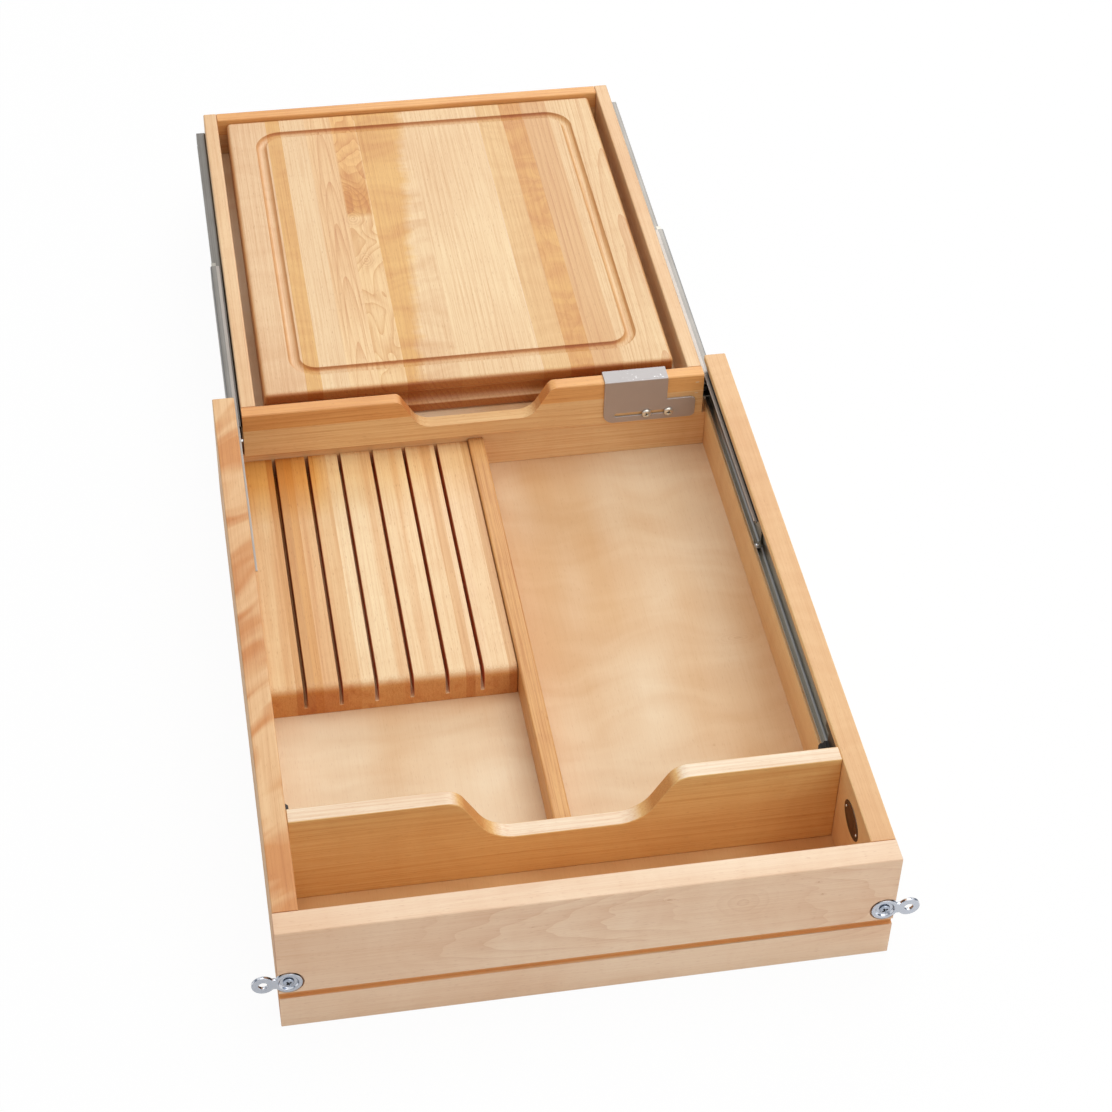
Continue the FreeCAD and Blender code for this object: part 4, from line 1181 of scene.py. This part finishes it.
# Domed rivets that the release levers turn on.
def makeLeverRivets(look):
    low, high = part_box("lever_rivets")
    head, height = look["head"], look["height"]
    edges = [(-look["length"], look["shank"]), (0, look["shank"]), (0, head)]
    master = turnedPiece("leverRivetPattern", look["sides"], edges + domeEdges(height, head, look["dome"]))
    smoothUpTo(look["shadeAngle"])
    for side, sign in bothSides:
        place = (sign * (high.x - height), (low.y + high.y) / 2, (low.z + high.z) / 2)
        rivet = copyTo(master, "leverRivet" + side, place, (0, 90 * sign, 0))
        dress(rivet, "brightScrew", "tray", "slide_zinc", "lever_rivets")
    bpy.data.objects.remove(master, do_unlink=True)


railTongue = {
    "reach": 0.0066, "thickness": 0.0009, "inset": 0.0003, "width": 0.0058, "overlap": 0.0012,
    "corner": 0.0026, "cornerSteps": 8, "softening": 0.0002,
    "rivet": {"radius": 0.0018, "height": 0.0013, "back": 0.0034, "inset": 0.0024, "sunk": 0.0004,
              "foot": 0.6, "sides": 24, "shadeAngle": 50,
              "dome": [(0, 1), (0.35, 0.96), (0.65, 0.8), (0.88, 0.5), (1, 0.2)]},
}


# Rounded tongue with a rivet at the front end of each middle rail's lower flange.
def makeRailTongue(look, side, sign):
    low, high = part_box("middle_rail_" + side.lower())
    mouth = low.x if sign > 0 else high.x
    middleX = mouth + sign * (look["inset"] + look["width"] / 2)
    front, floor = low.y - look["reach"], low.z + look["inset"] / 2
    tongue = makeBox("railTongue" + side, (middleX - look["width"] / 2, front, floor),
                     (middleX + look["width"] / 2, low.y + look["overlap"], floor + look["thickness"]))
    bevelWhere(tongue, lambda a, b: max(abs(a.y - front), abs(b.y - front)) < hair < abs(a.z - b.z),
               offset=look["corner"], segments=look["cornerSteps"])
    easeEdges(tongue, look["softening"])
    evenShading(tongue)
    dress(tongue, "zincRail", "middle_rails", "slide_zinc")
    rivet = look["rivet"]
    radius = rivet["radius"]
    edges = [(-rivet["sunk"], radius * rivet["foot"])] + domeEdges(rivet["height"], radius, rivet["dome"])
    addTurned("tongueRivet" + side, rivet, edges,
              (mouth + sign * rivet["inset"], front + rivet["back"], floor + look["thickness"]), (0, 0, 0),
              ("ballSteel", "middle_rails", "slide_zinc"))


sidePlate = {
    "place": (-0.4435, 0.0765), "half": (0.0178, 0.0122), "sides": 56, "shadeAngle": 35,
    "patternRadius": 0.01,
    "rim": [(0, 0.01), (0.0003, 0.01), (0.00055, 0.0099), (0.0006, 0.0096), (0.0005, 0.0091),
            (0.0004, 0.0088), (0.00042, 0.004)],
    "pin": {"places": ((0.0138, 0.0010), (-0.0138, -0.0012)), "radius": 0.0011, "sides": 16, "sunk": 0.0004,
            "shadeAngle": 50, "dome": [(0, 1), (0.25, 0.95), (0.45, 0.7), (0.55, 0.3)]},
}


# Blank oval plate with a raised rim, pinned to the right side in the front compartment.
def makeSidePlate(look):
    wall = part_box("cross_divider")[1].x
    y, z = look["place"]
    pin, turn = look["pin"], (0, -90, 0)
    addTurned("sidePlate", look, look["rim"], (wall, y, z), turn, ("brownPlate", "drawer", "black_plastic"),
              [half / look["patternRadius"] for half in reversed(look["half"])])
    for index, (alongY, alongZ) in enumerate(pin["places"]):
        addTurned("sidePlatePin" + str(index + 1), pin, domeEdges(pin["radius"], pin["radius"], pin["dome"]),
                  (wall - pin["sunk"], y + alongY, z + alongZ), turn,
                  ("brightScrew", "drawer", "bright_screw"))


# Filled nail holes where the tray front meets the right tray side: place along X and Z.
fillerMarks = {"places": ((0.1933, 0.0931), (0.1930, 0.0812)), "half": (0.0018, 0.0006), "proud": 0.00006,
               "sunk": 0.0004, "patternRadius": 0.001, "sides": 20, "shadeAngle": 35,
               "dome": [(0.5, 1), (1, 0.85)]}


def makeFillerMarks(look):
    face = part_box("tray_front_wall")[0].y
    radius = look["patternRadius"]
    edges = [(-look["sunk"], radius)] + domeEdges(look["proud"], radius, look["dome"])
    for index, (x, z) in enumerate(look["places"]):
        addTurned("fillerMark" + str(index + 1), look, edges, (x, face, z), (90, 0, 0),
                  ("woodFiller", "tray", "tray_maple"), [half / radius for half in look["half"]])


# A low rolled bead stiffens the web of each fixed rail.
webBead = {"height": 0.0803, "width": 0.0016, "proud": 0.00025, "inset": 0.004, "sheet": 0.001,
           "softening": 0.9, "steps": 3}


def makeWebBead(look, side, sign):
    low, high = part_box("outer_rail_" + side.lower())
    web = (high.x if sign > 0 else low.x) - sign * look["sheet"]
    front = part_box("rail_stop_" + side.lower())[1].y + look["inset"]
    proud, half = look["proud"], look["width"] / 2
    bead = makeBox("webBead" + side, (web - proud, front, look["height"] - half),
                   (web + proud, high.y - look["inset"], look["height"] + half))
    easeEdges(bead, proud * look["softening"], look["steps"])
    evenShading(bead)
    dress(bead, "zincRail", "drawer", "slide_zinc")


# Rolled forms along the rails: curved tracks for the balls, a bead at the mouth of each flange,
# and on the middle rails a lip that reaches inwards from the top flange.
railRolls = {
    "sheet": 0.001, "endGap": 0.0004, "sunk": 0.00005, "shadeAngle": 35,
    "track": {"leg": 0.0017, "round": 0.97, "profile": 0.18, "steps": 6},
    "bead": {"width": 0.0009, "height": 0.0005, "softening": 0.4},
    "lip": {"reach": 0.0016, "overlap": 0.0014, "proud": 0.00006, "softening": 0.0003},
}


def makeRailRolls(look, solidName, body, front):
    low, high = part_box(solidName)
    side = 1 if low.x > 0 else -1
    mouth, back = (low.x, high.x) if side > 0 else (high.x, low.x)
    web = back - side * look["sheet"]
    track, bead, lip, sunk = look["track"], look["bead"], look["lip"], look["sunk"]
    bars = []

    def addBar(name, xs, zs, finish):
        bars.append(makeBox(name, (min(xs), front + look["endGap"], min(zs)),
                            (max(xs), high.y - look["endGap"], max(zs))))
        paint(bars[-1], finish)
        return bars[-1]

    for up in (1, -1):
        floor = low.z + look["sheet"] if up > 0 else high.z - look["sheet"]
        edgeX, edgeZ = web - side * track["leg"], floor + up * track["leg"]
        bar = addBar("ballTrack", (web + side * sunk, edgeX), (floor - up * sunk, edgeZ), "zincRail")
        bevelWhere(bar, lambda *ends: all(max(abs(end.x - edgeX), abs(end.z - edgeZ)) < hair for end in ends),
                   offset=track["leg"] * track["round"], segments=track["steps"], profile=track["profile"])
        bar = addBar("mouthBead", (mouth + side * sunk, mouth + side * bead["width"]),
                     (floor - up * sunk, floor + up * bead["height"]), "shadedRolledEdge")
        easeEdges(bar, bead["height"] * bead["softening"])
    if "middle" in solidName:
        bar = addBar("topLip", (mouth - side * lip["reach"], mouth + side * lip["overlap"]),
                     (high.z - look["sheet"], high.z + lip["proud"]), "shadedRolledEdge")
        easeEdges(bar, lip["softening"])
    piece = joined(bars, pieceName(solidName.replace("rail", "rail_rolls")))
    evenShading(piece, look["shadeAngle"])
    dress(piece, None, body, "slide_zinc")


makeLeverRivets(leverRivet)
for side in ("left", "right"):
    makeRailRolls(railRolls, "middle_rail_" + side, "middle_rails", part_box("middle_rail_" + side)[0].y)
    makeRailRolls(railRolls, "outer_rail_" + side, "drawer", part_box("rail_stop_" + side)[1].y)
for side, sign in reversed(bothSides):
    makeRailTongue(railTongue, side, sign)
makeSidePlate(sidePlate)
makeFillerMarks(fillerMarks)
for side, sign in reversed(bothSides):
    makeWebBead(webBead, side, sign)
print("small fittings made")
